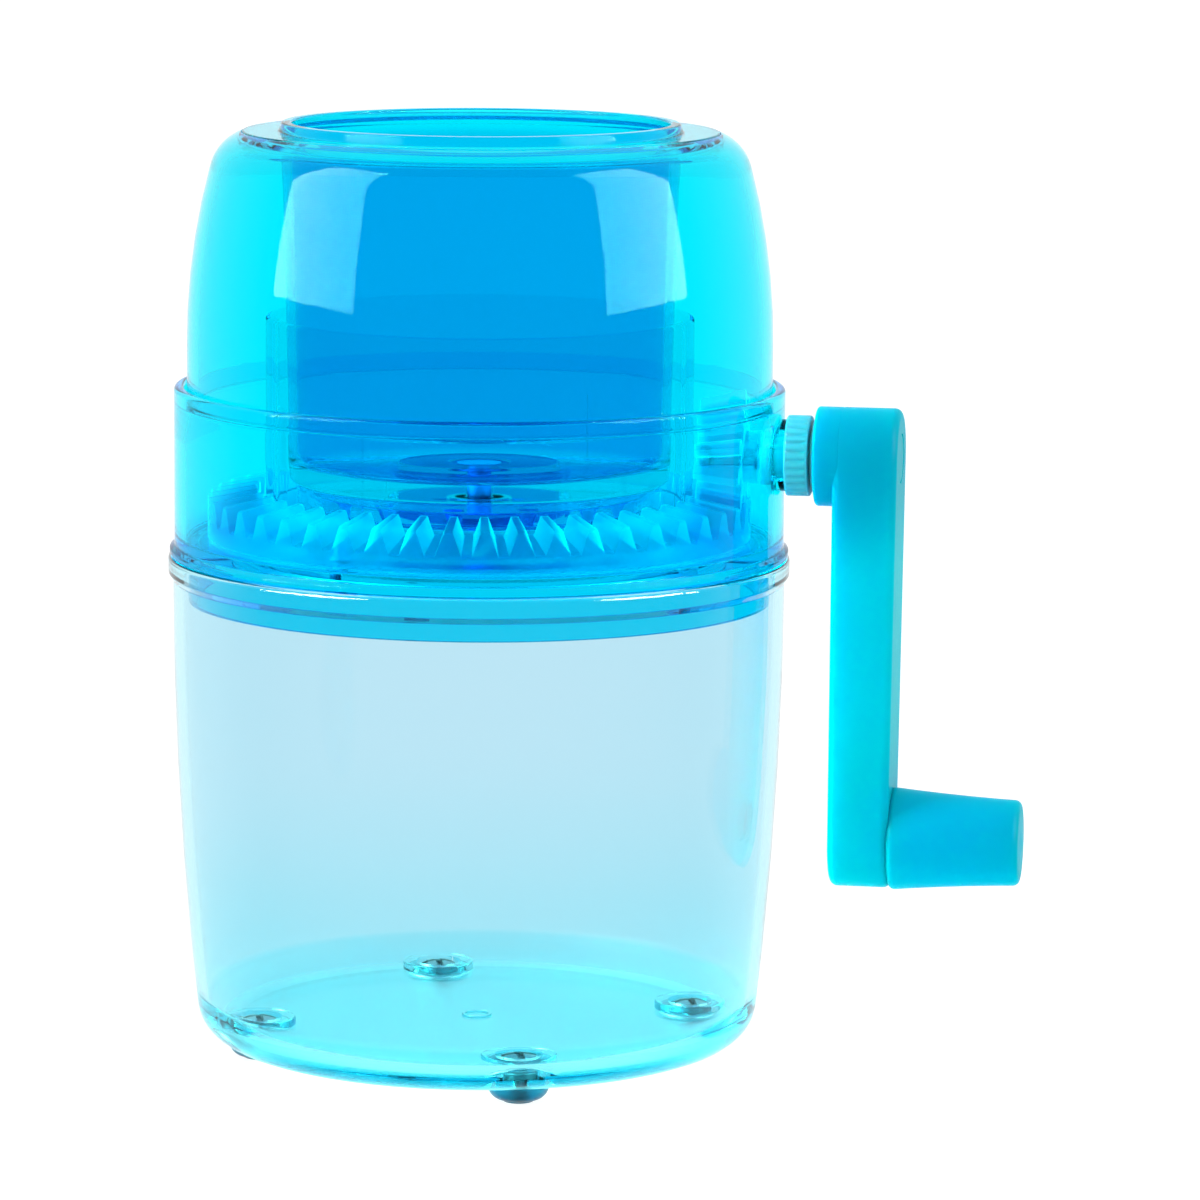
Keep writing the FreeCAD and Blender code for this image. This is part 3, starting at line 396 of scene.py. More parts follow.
gearPlastic = clearPlastic("gear plastic", {
    **plasticLook, "bend": 1.05, "rough": 0.5, "scuff": 0.06, "tint": (0.03, 0.9, 0.945, 1),
    "flowTint": (0.025, 0.89, 0.94, 1), "shadow": (0.3, 0.96, 0.99, 1), "absorb": (0.4, 0.03, 0.012)})
pressPlastic = clearPlastic("press plastic", {
    **plasticLook, "bend": 1.08, "rough": 0.14,
    "tint": (0.04, 0.74, 0.935, 1), "flowTint": (0.03, 0.72, 0.93, 1),
    "core": 18.5, "coreTop": 123.0, "coreTint": (0.03, 0.38, 0.78, 1),
    "shadow": (0.3, 0.9, 0.98, 1), "absorb": (0.4, 0.003, 0.001)})

# Shade cores of the milky plastics are (centre, reach along each axis, tint): painted shade, a darker tint
# towards each centre.

milkyLook = {"bend": 1.49, "grainDepth": 0.012, "coreEdge": 1.25, "coreFull": 0.35}
crankPlastic = milkyPlastic("crank plastic", {
    **milkyLook, "cloudScale": 32.0, "grainScale": 900.0, "tint": colour(0, 204, 218),
    "cloudTint": colour(0, 195, 213), "cores": (
        # painted shade at the hub, the arm's low end and the grip, holding back the light that falls on them
        ((76, 0, 129), (20, 40, 22), colour(0, 160, 186)), ((80, 0, 48), (16, 40, 30), colour(0, 188, 202)),
        ((104, 0, 49), (25, 60, 22), colour(0, 183, 220))),
    "grain": 0.14, "rough": 0.26, "gloss": 0.01, "sink": 1.0, "sinkRadius": (0.1, 1.2, 1.6), "sinkScale": 4.0,
    "clear": 0.0})
nylon = milkyPlastic("nylon", {
    **milkyLook, "cloudScale": 90.0, "grainScale": 800.0, "tint": colour(100, 198, 207),
    "cloudTint": colour(84, 186, 201), "grain": 0.2, "rough": 0.3, "gloss": 0.4, "sink": 1.0,
    "sinkRadius": (1.0, 1.2, 1.3), "sinkScale": 2.5, "clear": 0.3})
footSpots = [(footRing * math.cos(angle), footRing * math.sin(angle), 1.0)
             for angle in np.radians(footAngle + 360 / footCount * np.arange(footCount))]
rubber = milkyPlastic("foot rubber", {
    **milkyLook, "cloudScale": 90.0, "grainScale": 600.0, "tint": colour(12, 142, 178),
    "cloudTint": colour(8, 120, 158),
    # painted contact shadow: a dark shade core at the underside of each foot, where it meets the floor
    "cores": [(spot, (6.4, 6.4, 2.6), colour(4, 44, 66)) for spot in footSpots],
    "grain": 0.2, "rough": 0.22, "gloss": 0.15, "sink": 0.0, "sinkRadius": (0.2, 1.0, 1.2), "sinkScale": 1.0,
    "clear": 0.7, "grainDepth": 0.02})

steelLook = {"lineScale": 500.0, "lineStretch": (1.0, 1.0, 0.2), "spread": 0.2, "lineDepth": 0.01}
steel = brushedSteel("screw steel", {
    **steelLook, "tint": (0.3, 0.42, 0.47, 1), "lineTint": (0.2, 0.31, 0.36, 1), "rough": 0.24})
footScrewSteel = brushedSteel("foot screw steel", {
    **steelLook, "tint": (0.36, 0.58, 0.63, 1), "lineTint": (0.29, 0.48, 0.54, 1), "rough": 0.2,
    # painted shade: darker below this height, in the cross recess
    "recessShadeTint": (0.06, 0.17, 0.21, 1), "recessShadeFrom": 8.3, "recessShadeTo": 7.9})
darkSteel = brushedSteel("inner screw steel", {
    **steelLook, "tint": (0.1, 0.25, 0.4, 1), "lineTint": (0.08, 0.21, 0.35, 1), "rough": 0.55})
plateSteel = brushedSteel("plate steel", {
    "lineScale": 420.0, "lineStretch": (0.06, 1.0, 1.0), "spread": 0.22, "lineDepth": 0.008,
    "tint": (0.56, 0.6, 0.62, 1), "lineTint": (0.44, 0.48, 0.5, 1), "rough": 0.26})
print("finishes ready")


# Container and what is fastened under it

container = {"underside": 3.6, "footSeat": 5.0, "pocket": 6.7, "floorTop": 7.4, "foot": 58.6,
             "innerFoot": 56.75, "rim": 64.3, "wall": 2.1, "bead": 65.3, "beadLow": 103.2, "beadFlare": 1.4,
             "top": 106.7, "sweep": 850.0, "corner": 8.0, "innerCorner": 7.4, "root": 0.6, "boss": 7.8,
             "bossTop": 9.0, "sink": 4.9, "sinkFloor": 7.0, "hole": 1.6, "gate": 3.2, "gateWidth": 0.8,
             "gateTop": 7.8}


def onFeet(shape, count=footCount, start=footAngle):
    # Copies of a shape that stands on the axis, moved out to the feet.
    return around(shape, count, start, (footRing, 0, 0))


def makeContainer(c):
    # The wall leans out on a slow arc from a rounded foot to a beaded rim; four bosses stand on the floor.
    shell = lathe([
        (0, c["underside"]), (c["foot"], c["underside"], c["corner"]),
        (c["rim"], c["beadLow"] - c["beadFlare"], 0.8, c["sweep"]), (c["bead"], c["beadLow"], 0.8),
        (c["bead"], c["top"], 0.7), (c["rim"] - c["wall"], c["top"], 0.5),
        (c["innerFoot"], c["floorTop"], c["innerCorner"], -c["sweep"]), (0, c["floorTop"])])
    low = c["floorTop"] - c["root"]
    bosses = onFeet(rod(c["boss"], low, c["bossTop"], edge=0.35))
    gateInside = c["gate"] - c["gateWidth"]
    gate = turned(outlineOf([(gateInside, low), (c["gate"], low), (c["gate"], c["gateTop"], 0.2),
                             (gateInside, c["gateTop"], 0.2)]), coarse)
    sinks = onFeet(rod(c["sink"], c["sinkFloor"], c["bossTop"] + past))
    pockets = onFeet(rod(c["pocket"], c["underside"] - past, c["footSeat"], edge=0.3))
    holes = onFeet(rod(c["hole"], c["underside"] - past, c["bossTop"] + past, coarse))
    piece("containerShell", shell, "container", containerPlastic, ["container"],
          add=[bosses, gate], cut=[sinks, pockets, holes])


foot = {"radius": 6.35, "pad": 3.2, "padLift": 0.4, "padEdge": 0.09, "shoulder": 3.0, "shoulderSweep": 3.06,
        "height": 4.94, "hole": 1.6, "holeFloor": 1.4}
screw = {"head": 4.4, "seat": 7.06, "edge": 0.9, "top": 9.2, "dome": 7.5, "shank": 1.55, "tip": 1.45,
         "slotHalf": 3.6, "slotWide": 0.75, "slotDeep": 1.5}


def makeFeet(f, s):
    # Rubber feet with a rounded shoulder and a small contact pad, each held by a domed cross-head screw.
    shape = lathe([
        (0, 0), (f["pad"], 0, f["padEdge"]), (f["pad"], f["padLift"], f["padEdge"]),
        (f["radius"], f["padLift"] + f["shoulder"], 0, f["shoulderSweep"]), (f["radius"], f["height"], 0.35),
        (f["hole"], f["height"]), (f["hole"], f["holeFloor"]), (0, f["holeFloor"])], medium)
    for index in range(footCount):
        placed = onFeet(shape, 1, footAngle + 360 // footCount * index)
        piece(f"foot{index + 1}", placed, "container", rubber, [f"foot_{index + 1}"])
    head = lathe([
        (0, s["tip"]), (s["shank"], s["tip"]), (s["shank"], s["seat"]), (s["head"], s["seat"], 0.15),
        (s["head"], s["seat"] + s["edge"], 0.25), (0, s["top"], 0, s["dome"])], coarse)
    slots = []
    for across, wide in ((s["slotHalf"], s["slotWide"]), (s["slotWide"], s["slotHalf"])):
        slots.append(onFeet(block((-across, -wide, s["top"] - s["slotDeep"]),
                                  (across, wide, s["top"] + past))))
    piece("footScrews", onFeet(head), "container", footScrewSteel, ["foot_screws"], cut=slots,
          sharp=crisp)


makeContainer(container)
makeFeet(foot, screw)
print("container ready")


# Housing: band, flange, collar and deck, with the seat for the crank shaft

housing = {"collarLow": 97.7, "collar": 61.1, "collarWall": 1.9, "flangeLow": 107.0, "flange": 65.0,
           "flangeHeight": 1.4, "flangeSlope": 0.8, "band": 64.0, "bandTop": 142.4, "bandBore": 61.7,
           "bandRound": 0.9, "ledge": 60.2, "ledgeTop": 138.5, "ledgeLow": 137.7, "ledgeFoot": 131.5,
           "ledgeRound": 8.0, "deckLow": 108.0, "deckTop": 110.4, "deckBore": 40.0, "recess": 46.3,
           "recessFloor": 109.14, "seat": 7.5, "seatInner": 61.2, "seatOuter": 65.0, "bore": 5.02,
           "boreReach": 3.0, "lugRing": 43.5, "lugCount": 3, "lug": 3.2, "lugLow": 105.4, "lugRoot": 0.4,
           "lugHole": 1.25}


def makeHousing(h):
    # One outline carried round the axis: collar, flange, band, ledge, deck and the blade plate's recess.
    inside = h["collar"] - h["collarWall"]
    flangeTop = h["flangeLow"] + h["flangeHeight"]
    shell = turned(outlineOf([
        (inside, h["collarLow"], 0.5), (h["collar"], h["collarLow"], 0.5), (h["collar"], h["flangeLow"], 0.4),
        (h["flange"], h["flangeLow"], 0.45), (h["flange"], flangeTop, 0.45),
        (h["band"], flangeTop + h["flangeSlope"], 0.5), (h["band"], h["bandTop"], h["bandRound"]),
        (h["bandBore"], h["bandTop"], h["bandRound"]), (h["bandBore"], h["ledgeTop"], 0.3),
        (h["ledge"], h["ledgeTop"], 0.3), (h["ledge"], h["ledgeLow"], 0.3),
        (h["bandBore"], h["ledgeFoot"], h["ledgeRound"]), (h["bandBore"], h["deckTop"], 0.8),
        (h["recess"], h["deckTop"], 0.15), (h["recess"], h["recessFloor"]),
        (h["deckBore"], h["recessFloor"], 0.2), (h["deckBore"], h["deckLow"], 0.3),
        (inside, h["deckLow"], 0.6)]))
    seat = rod(h["seat"], h["seatInner"], h["seatOuter"], axis="X", centre=onAxis, edge=0.3)
    start, end = h["seatInner"] - h["boreReach"], h["seatOuter"] + h["boreReach"]
    bore = rod(h["bore"], start, end, axis="X", centre=onAxis)
    lug = rod(h["lug"], h["lugLow"], h["deckLow"] + h["lugRoot"], coarse, edge=0.3)
    hole = rod(h["lugHole"], h["lugLow"] - past, h["deckTop"], coarse)
    lugs, holes = (around(shape, h["lugCount"], 0, (h["lugRing"], 0, 0)) for shape in (lug, hole))
    piece("housingShell", shell, "housing", housingPlastic, ["housing_shell"],
          add=[seat, lugs], cut=[bore, holes])


makeHousing(housing)
print("housing ready")


# Pieces on the shaft line, all turned about X

nut = {"inner": 65.06, "outer": 70.0, "radius": 8.4, "bore": 5.02, "fluteDepth": 0.45, "fluteCount": 28,
       "flutePoints": 12, "fluteRows": 6, "land": 0.8, "rim": 0.5}
bush = {"start": 59.4, "seat": 61.14, "end": 70.2, "flange": 6.2, "barrel": 4.98, "bore": 3.05}
washer = {"start": 70.5, "end": 71.14, "radius": 7.5, "bore": 3.0}
shaft = {"start": 48.8, "end": 83.0, "side": 4.2, "corner": 1.32, "edge": 0.2, "journalStart": 58.0,
         "journalEnd": 71.2, "journal": 2.98, "points": 64}
pinionScrew = {"front": 46.9, "seat": 48.8, "tip": 56.0, "head": 3.0, "shank": 1.25}
armScrew = {"tip": 75.0, "seat": 84.4, "front": 86.2, "head": 3.2, "shank": 1.55}


def ringsOnShaft(rows, across, up, wrapAlong):
    # Rows of (way along X, radius) as rings round the shaft's axis: the radius times across and up.
    rings = [np.stack([np.full(len(up), along), radius * across, radius * up], axis=-1)
             for along, radius in rows]
    return surface(np.array(rings) + np.array(onAxis), wrapAlong)


def makeShaftLine():
    # Nut, bush, washer and the two end screws, each an outline turned about the shaft's axis.
    def fluted(radius, height, angle):
        # Shallow round grooves cut along the rim, between two plain lands.
        wave = 0.5 + 0.5 * np.cos(angle * nut["fluteCount"])
        ends = np.minimum(height - nut["inner"], nut["outer"] - height) / nut["land"]
        groove = nut["fluteDepth"] * wave ** 2 * np.clip(ends * 2 - 1, 0, 1)
        return radius - groove * (radius > nut["radius"] - nut["rim"]), height

    rim = outlineOf([(nut["bore"], nut["inner"]), (nut["radius"], nut["inner"], 0.3),
                     (nut["radius"], nut["outer"], 0.3), (nut["bore"], nut["outer"], 0.2)])
    rows = np.linspace(nut["inner"] + nut["rim"], nut["outer"] - nut["rim"], nut["fluteRows"])
    steps = np.stack([np.full(len(rows), nut["radius"]), rows], axis=1)
    split = np.argmax(rim[:, 1] > (nut["inner"] + nut["outer"]) / 2)
    rim = np.vstack([rim[:split], steps, rim[split:]])
    ring = turned(rim, nut["flutePoints"] * nut["fluteCount"], "X", onAxis, ripple=fluted)
    piece("shaftNut", ring, "housing", nylon, ["shaft_nut"])
    piece("shaftBush", turned(outlineOf([
        (bush["bore"], bush["start"], 0.2), (bush["flange"], bush["start"], 0.3),
        (bush["flange"], bush["seat"], 0.2), (bush["barrel"], bush["seat"]),
        (bush["barrel"], bush["end"], 0.3), (bush["bore"], bush["end"], 0.2)]), medium, "X", onAxis),
        "housing", nylon, ["shaft_bush"])
    piece("shaftWasher", turned(outlineOf([
        (washer["bore"], washer["start"], 0.1), (washer["radius"], washer["start"], 0.15),
        (washer["radius"], washer["end"], 0.15), (washer["bore"], washer["end"], 0.1)]), medium, "X", onAxis),
        "crank", nylon, ["shaft_washer"])
    for name, node, s in (("pinionScrew", "pinion_screw", pinionScrew), ("armScrew", "arm_screw", armScrew)):
        piece(name, lathe([
            (0, s["tip"]), (s["shank"], s["tip"], 0.2), (s["shank"], s["seat"], 0.1),
            (s["head"], s["seat"], 0.15), (s["head"], s["front"], 0.5), (0, s["front"])],
            coarse, "X", onAxis), "crank", steel, [node])


pinion = {"apex": 54.0, "inner": 46.6, "outer": 56.0, "hubEnd": 59.0, "hub": 6.0, "hubEdge": 0.3,
          "bore": 3.02, "sink": 3.4, "sinkFloor": 48.8, "teeth": 10, "bevel": 0.35,
          "flank": [(0.0, 13.17), (3.05, 13.17), (7.89, 11.36), (8.77, 10.70), (9.3, 8.55), (18.0, 8.55)],
          "spots": [0.0, 1.5, 2.6, 3.05, 3.5, 5.2, 7.0, 7.89, 8.77, 9.05, 9.3, 10.0, 14.0, 18.0]}


def makePinion(p):
    # Straight bevel teeth: the radius follows the flank (degrees from the tooth's middle, radius at the
    # apex's distance) as a function of the angle, and grows with the way along X. The spots are the angles
    # at which half a tooth has points.
    pitch = 360 / p["teeth"]
    bend, reach = np.array(p["flank"]).T
    bend, reach = np.concatenate([-bend[:0:-1], bend]), np.concatenate([reach[:0:-1], reach])
    half = np.array(p["spots"])
    angle = np.concatenate([-half[:0:-1], half[:-1]])
    angle = (angle[None, :] + np.arange(p["teeth"])[:, None] * pitch).ravel()
    tooth = np.interp((angle + pitch / 2) % pitch - pitch / 2, bend, reach)
    angle = np.radians(angle)
    first, last = p["inner"] + p["bevel"], p["outer"] - p["bevel"]
    rows = [(p["sinkFloor"], p["bore"]), (p["sinkFloor"], p["sink"]), (p["inner"], p["sink"]),
            (p["inner"], tooth * (p["inner"] / p["apex"]) - p["bevel"]),
            (first, tooth * (first / p["apex"])), (last, tooth * (last / p["apex"])),
            (p["outer"], tooth * (p["outer"] / p["apex"]) - p["bevel"]),
            (p["outer"], p["hub"]), (p["hubEnd"] - p["hubEdge"], p["hub"]),
            (p["hubEnd"], p["hub"] - p["hubEdge"]), (p["hubEnd"], p["bore"])]
    shape = ringsOnShaft(rows, np.sin(angle), np.cos(angle), wrapAlong=True)
    piece("bevelPinion", shape, "crank", gearPlastic, ["pinion"], sharp=crisp)


def makeShaft(s):
    # A round journal between two square ends: a square's radius is its half side over the larger of cosine
    # and sine, cut off at its corners.
    angle = np.arange(s["points"]) * 2 * math.pi / s["points"]
    half = s["side"] / 2
    square = half / np.maximum(np.abs(np.cos(angle)), np.abs(np.sin(angle)))
    square = np.minimum(square, half * s["corner"])
    rows = [(s["start"], 0.0), (s["start"], square - s["edge"]), (s["start"] + s["edge"], square),
            (s["journalStart"], square), (s["journalStart"], s["journal"]), (s["journalEnd"], s["journal"]),
            (s["journalEnd"], square), (s["end"] - s["edge"], square), (s["end"], square - s["edge"]),
            (s["end"], 0.0)]
    shape = ringsOnShaft(rows, np.cos(angle), np.sin(angle), wrapAlong=False)
    piece("crankShaft", shape, "crank", steel, ["crank_shaft"], sharp=crisp)


makeShaftLine()
makePinion(pinion)
makeShaft(shaft)
print("shaft line ready")


# Crank arm and grip

arm = {"inner": 75.4, "outerTop": 88.8, "outerLow": 88.1, "half": 10.35, "edge": 1.6, "flat": 0.5,
       "hubStart": 71.2, "hubEdge": 0.6, "bore": 2.4, "sink": 5.2, "sinkFloor": 84.4, "pinSink": 4.5,
       "pinSinkFloor": 78.4, "pin": 2.52, "bowPoints": 48, "sidePoints": 10, "edgePoints": 8}
cap = {"start": 86.4, "end": 88.7, "radius": 5.15, "edge": 0.6}
grip = {"start": 87.6, "end": 115.0, "root": 10.8, "tip": 8.9, "edge": 1.4, "sweep": 400.0, "cap": 7.0,
        "capRoom": 0.06, "capSeat": 113.0, "crown": 115.4, "capDome": 60.0, "bore": 2.56, "chamber": 108.2,
        "chamberWall": 3.4}
pin = {"headStart": 76.5, "headEnd": 78.4, "head": 4.4, "radius": 2.5, "rivetStart": 109.6, "rivet": 3.2,
       "end": 110.4}


def makeArm(a):
    # A bar with two round ends: its edge line is a point on the centre line plus the half width times the
    # outward normal, drawn in by the edge rounding towards both faces. The outer face leans in at the grip.
    bow = np.linspace(-math.pi / 2, math.pi / 2, a["bowPoints"])
    down = np.linspace(shaftLevel, gripLevel, a["sidePoints"] + 2)[1:-1]
    side = np.ones(len(down))
    normalY = np.concatenate([np.sin(bow), side, np.sin(bow[::-1]), -side])
    normalZ = np.concatenate([np.cos(bow), 0 * side, -np.cos(bow), 0 * side])
    centre = np.concatenate([np.full(len(bow), shaftLevel), down, np.full(len(bow), gripLevel), down[::-1]])
    turn = np.linspace(0, math.pi / 2, a["edgePoints"])
    inset = a["edge"] * (1 - np.sin(turn))
    lift = a["edge"] * (1 - np.cos(turn))
    inner = np.full(len(centre), a["inner"])
    outer = a["outerLow"] + (a["outerTop"] - a["outerLow"]) * (centre - gripLevel) / (shaftLevel - gripLevel)
    flat = a["edge"] + a["flat"]
    rings = [(a["half"], inner), (flat, inner)]
    rings += [(pull, inner + rise) for pull, rise in zip(inset, lift)]
    rings += [(pull, outer - rise) for pull, rise in zip(inset[::-1], lift[::-1])]
    rings += [(flat, outer), (a["half"], outer)]
    grid = np.array([np.stack([along, normalY * (a["half"] - pull), centre + normalZ * (a["half"] - pull)],
                              axis=-1) for pull, along in rings])
    shape = surface(grid, wrapAlong=False)
    hub = rod(a["half"], a["hubStart"], a["inner"] + a["edge"], fine, "X", onAxis, a["hubEdge"])
    cuts = [rod(a["bore"], a["hubStart"] - past, a["outerTop"] + past, coarse, "X", onAxis),
            rod(a["sink"], a["sinkFloor"], a["outerTop"] + past, medium, "X", onAxis),
            rod(a["pin"], a["inner"] - past, a["outerTop"] + past, coarse, "X", onGrip),
            rod(a["pinSink"], a["inner"] - past, a["pinSinkFloor"], medium, "X", onGrip)]
    piece("crankArm", shape, "crank", crankPlastic, ["crank_arm"], add=[hub], cut=cuts)
    disc = rod(cap["radius"], cap["start"], cap["end"], medium, "X", onAxis, cap["edge"])
    piece("hubCap", disc, "crank", crankPlastic, ["hub_cap"])


def makeGrip(g, p):
    # A cone that narrows outwards with a slightly bowed side, a domed cap in its end, and the pin that it
    # spins on.
    chamber = g["bore"] + g["chamberWall"]
    piece("crankGrip", turned(outlineOf([
        (g["bore"], g["start"]), (g["root"], g["start"], g["edge"]),
        (g["tip"], g["end"], g["edge"], -g["sweep"]), (g["cap"], g["end"], 0.2), (g["cap"], g["capSeat"]),
        (chamber, g["capSeat"]), (chamber, g["chamber"]), (g["bore"], g["chamber"])]), fine, "X", onGrip),
        "grip", crankPlastic, ["crank_grip"])
    capRadius = g["cap"] - g["capRoom"]
    piece("gripCap", lathe([
        (0, g["capSeat"]), (capRadius, g["capSeat"]), (capRadius, g["end"], 0.25),
        (0, g["crown"], 0, -g["capDome"])], medium, "X", onGrip),
        "grip", crankPlastic, ["grip_cap"])
    piece("gripPin", lathe([
        (0, p["headStart"]), (p["head"], p["headStart"], 0.5), (p["head"], p["headEnd"], 0.1),
        (p["radius"], p["headEnd"]), (p["radius"], p["rivetStart"]), (p["rivet"], p["rivetStart"]),
        (p["rivet"], p["end"], 0.4), (0, p["end"])], coarse, "X", onGrip),
        "crank", steel, ["grip_pin"])


makeArm(arm)
makeGrip(grip, pin)
print("crank ready")


# Drum with its crown gear

drum = {"radius": 44.8, "bore": 42.4, "low": 110.8, "top": 157.0, "flange": 50.0, "flangeTop": 112.8,
        "ribTip": 41.0, "ribTop": 136.8, "ribTopSlope": 0.6, "ribCount": 6, "ribWide": 2.4,
        "ribFoot": 1.25, "ribSlope": 0.5, "ribReach": 1.6, "plainStep": 1.25, "turn": 3.75}
crown = {"bore": 44.85, "recess": 50.1, "inner": 46.6, "outer": 57.0, "deck": 112.86, "low": 110.8,
         "lowEdge": 0.3, "teeth": 48, "apex": 54.0, "pinion": 11.25, "addendum": 1.9, "dedendum": 2.7,
         "tipHalf": 0.868, "baseHalf": 2.543, "straight": 0.82, "eased": 0.18, "bevel": 0.35, "turn": 3.75}


def makeDrum(d):
    # An open cylinder on a flange; six ribs run up the lower part of its bore.
    edge = math.degrees(d["ribWide"] / 2 / d["bore"])   # half a rib, in degrees
    step = 360 / d["ribCount"]
    reach = d["ribReach"]   # points are close up to this many half ribs away
    marks = np.concatenate([np.arange(-edge * reach, edge * (reach + 0.01), edge / 5),
                            np.arange(edge * reach, step - edge * reach, d["plainStep"])])
    angle = np.sort(np.unique(np.round(marks % step, 4)))
    angle = (angle[None, :] + np.arange(d["ribCount"])[:, None] * step).ravel() + d["turn"]

    def ribbed(radius, height, turn):
        # The bore is drawn in by a soft step on both sides of each rib, and not at all above the ribs.
        away = np.abs((np.degrees(turn) - d["turn"] + step / 2) % step - step / 2)
        rib = np.clip((edge * d["ribFoot"] - away) / (edge * d["ribSlope"]), 0, 1)
        rib = rib * rib * (3 - 2 * rib)
        below = np.clip((d["ribTop"] - height) / d["ribTopSlope"], 0, 1)
        inside = radius < d["bore"] + 0.01
        return radius - (d["bore"] - d["ribTip"]) * rib * below * inside, height

    outline = outlineOf([
        (d["bore"], d["low"]), (d["flange"], d["low"], 0.3), (d["flange"], d["flangeTop"], 0.3),
        (d["radius"], d["flangeTop"], 0.5), (d["radius"], d["top"], 0.7), (d["bore"], d["top"], 0.7),
        (d["bore"], d["ribTop"]), (d["bore"], d["ribTop"] - d["ribTopSlope"])])
    piece("iceDrum", turned(outline, np.radians(angle), ripple=ribbed), "drum", drumPlastic,
          ["ice_drum"])


def makeCrown(c):
    # A ring whose top runs up and down in straight teeth: the height is the cone's root at that radius plus
    # the tooth's rise, which is 1 on its land and 0 at its foot.
    pitch = 2 * math.pi / c["teeth"]
    tip, base = c["tipHalf"] / c["apex"], c["baseHalf"] / c["apex"]
    # half a tooth's points: its land, its flank, its root
    half = np.array([0, 0.5 * tip, 0.85 * tip, tip, tip * 1.25, (tip + base) / 2, base * 0.93, base,
                     base * 1.07, (base + pitch / 2) / 2, pitch / 2])
    angle = np.concatenate([-half[:0:-1], half[:-1]])
    rise = np.clip((base - np.abs(angle)) / (base - tip), 0, 1)
    rise = c["straight"] * rise + c["eased"] * rise * rise * (3 - 2 * rise)
    angle = (angle[None, :] + np.arange(c["teeth"])[:, None] * pitch).ravel() + math.radians(c["turn"])
    rise = np.tile(rise, c["teeth"])

    def root(reach):
        return shaftLevel - (c["pinion"] + c["dedendum"]) * reach / c["apex"]

    def level(reach):
        return root(reach) + (c["addendum"] + c["dedendum"]) * reach / c["apex"] * rise

    flat = np.ones(len(angle))
    low, edge = root(c["inner"]), c["bevel"]
    rings = [(c["bore"], c["deck"] * flat), (c["bore"], low * flat), (c["inner"], low * flat),
             (c["inner"], np.maximum(low, level(c["inner"]) - edge)),
             (c["inner"] + edge, level(c["inner"] + edge)), (c["outer"] - edge, level(c["outer"] - edge)),
             (c["outer"], level(c["outer"]) - edge), (c["outer"], (c["low"] + c["lowEdge"]) * flat),
             (c["outer"] - c["lowEdge"], c["low"] * flat),
             (c["recess"], c["low"] * flat), (c["recess"], c["deck"] * flat)]
    grid = np.array([np.stack([radius * np.cos(angle), radius * np.sin(angle), height], axis=-1)
                     for radius, height in rings])
    piece("crownGear", surface(grid, wrapAlong=True), "drum", gearPlastic, ["crown_gear"],
          sharp=crisp)


makeDrum(drum)
makeCrown(crown)
print("drum ready")


# Lid dome with its press cup, and the press plate under it

lid = {"skirtLow": 138.8, "radius": 61.3, "wall": 2.2, "skirtTop": 151.0, "sweep": 141.0, "shoulder": 56.34,
       "shoulderLevel": 188.4, "shoulderRound": 10.0, "ring": 49.9, "ringLevel": 195.36, "rebate": 193.9,
       "opening": 44.0, "innerShoulder": 54.38, "innerShoulderLevel": 186.9, "innerRound": 8.0,
       "innerTop": 49.5, "innerTopLevel": 192.3}
cup = {"bolt": 2.56, "low": 122.6, "lowRadius": 39.8, "topRadius": 41.5, "flange": 49.75, "flangeLow": 193.97,
       "flangeTop": 195.6, "top": 197.4, "mouth": 39.4, "bore": 38.0, "floor": 125.7, "corner": 5.0,
       "slope": 0.6, "boss": 17.0, "bossTop": 128.1, "well": 6.2}
press = {"radius": 38.2, "top": 122.2, "low": 119.9, "hub": 18.0, "hubLow": 115.2, "chamber": 7.0,
         "chamberTop": 118.3, "ringBore": 33.0, "ringLow": 117.0, "bore": 2.56, "spikeRing": 29.0,
         "spikeCount": 12, "spike": 2.4, "spikeTip": 0.4, "spikeLow": 115.2, "spikeRoot": 0.2}


def makeLid(d):
    # A straight skirt, a long arc to the shoulder and a tight one to the opening's ring, outside and inside.
    inner = d["radius"] - d["wall"]
    shell = turned(outlineOf([
        (inner, d["skirtLow"], 0.5), (d["radius"], d["skirtLow"], 0.5), (d["radius"], d["skirtTop"]),
        (d["shoulder"], d["shoulderLevel"], 0, d["sweep"]),
        (d["ring"], d["ringLevel"], 0, d["shoulderRound"]), (d["ring"], d["rebate"]),
        (d["opening"], d["rebate"], 0.2), (d["opening"], d["innerTopLevel"], 0.3),
        (d["innerTop"], d["innerTopLevel"]),
        (d["innerShoulder"], d["innerShoulderLevel"], 0, -d["innerRound"]),
        (inner, d["skirtTop"], 0, -(d["sweep"] - d["wall"]))]))
    piece("lidDome", shell, "lid", lidPlastic, ["lid_dome"])


def makeCup(c):
    # A deep tapering cup that hangs by its flange from the lid's top.
    shell = turned(outlineOf([
        (c["bolt"], c["low"], 0.2), (c["lowRadius"], c["low"], 0.8), (c["topRadius"], c["flangeLow"], 0.4),
        (c["flange"], c["flangeLow"], 0.3), (c["flange"], c["flangeTop"], 0.35),
        (c["topRadius"] + c["slope"], c["flangeTop"], 0.4), (c["topRadius"], c["top"], 0.5),
        (c["mouth"], c["top"], 0.5), (c["bore"], c["floor"], c["corner"]),
        (c["boss"], c["floor"], 0.3), (c["boss"], c["bossTop"], 0.5), (c["well"], c["bossTop"], 0.5),
        (c["well"], c["floor"], 0.3), (c["bolt"], c["floor"], 0.2)]))
    piece("pressCup", shell, "lid", cupPlastic, ["press_cup"])


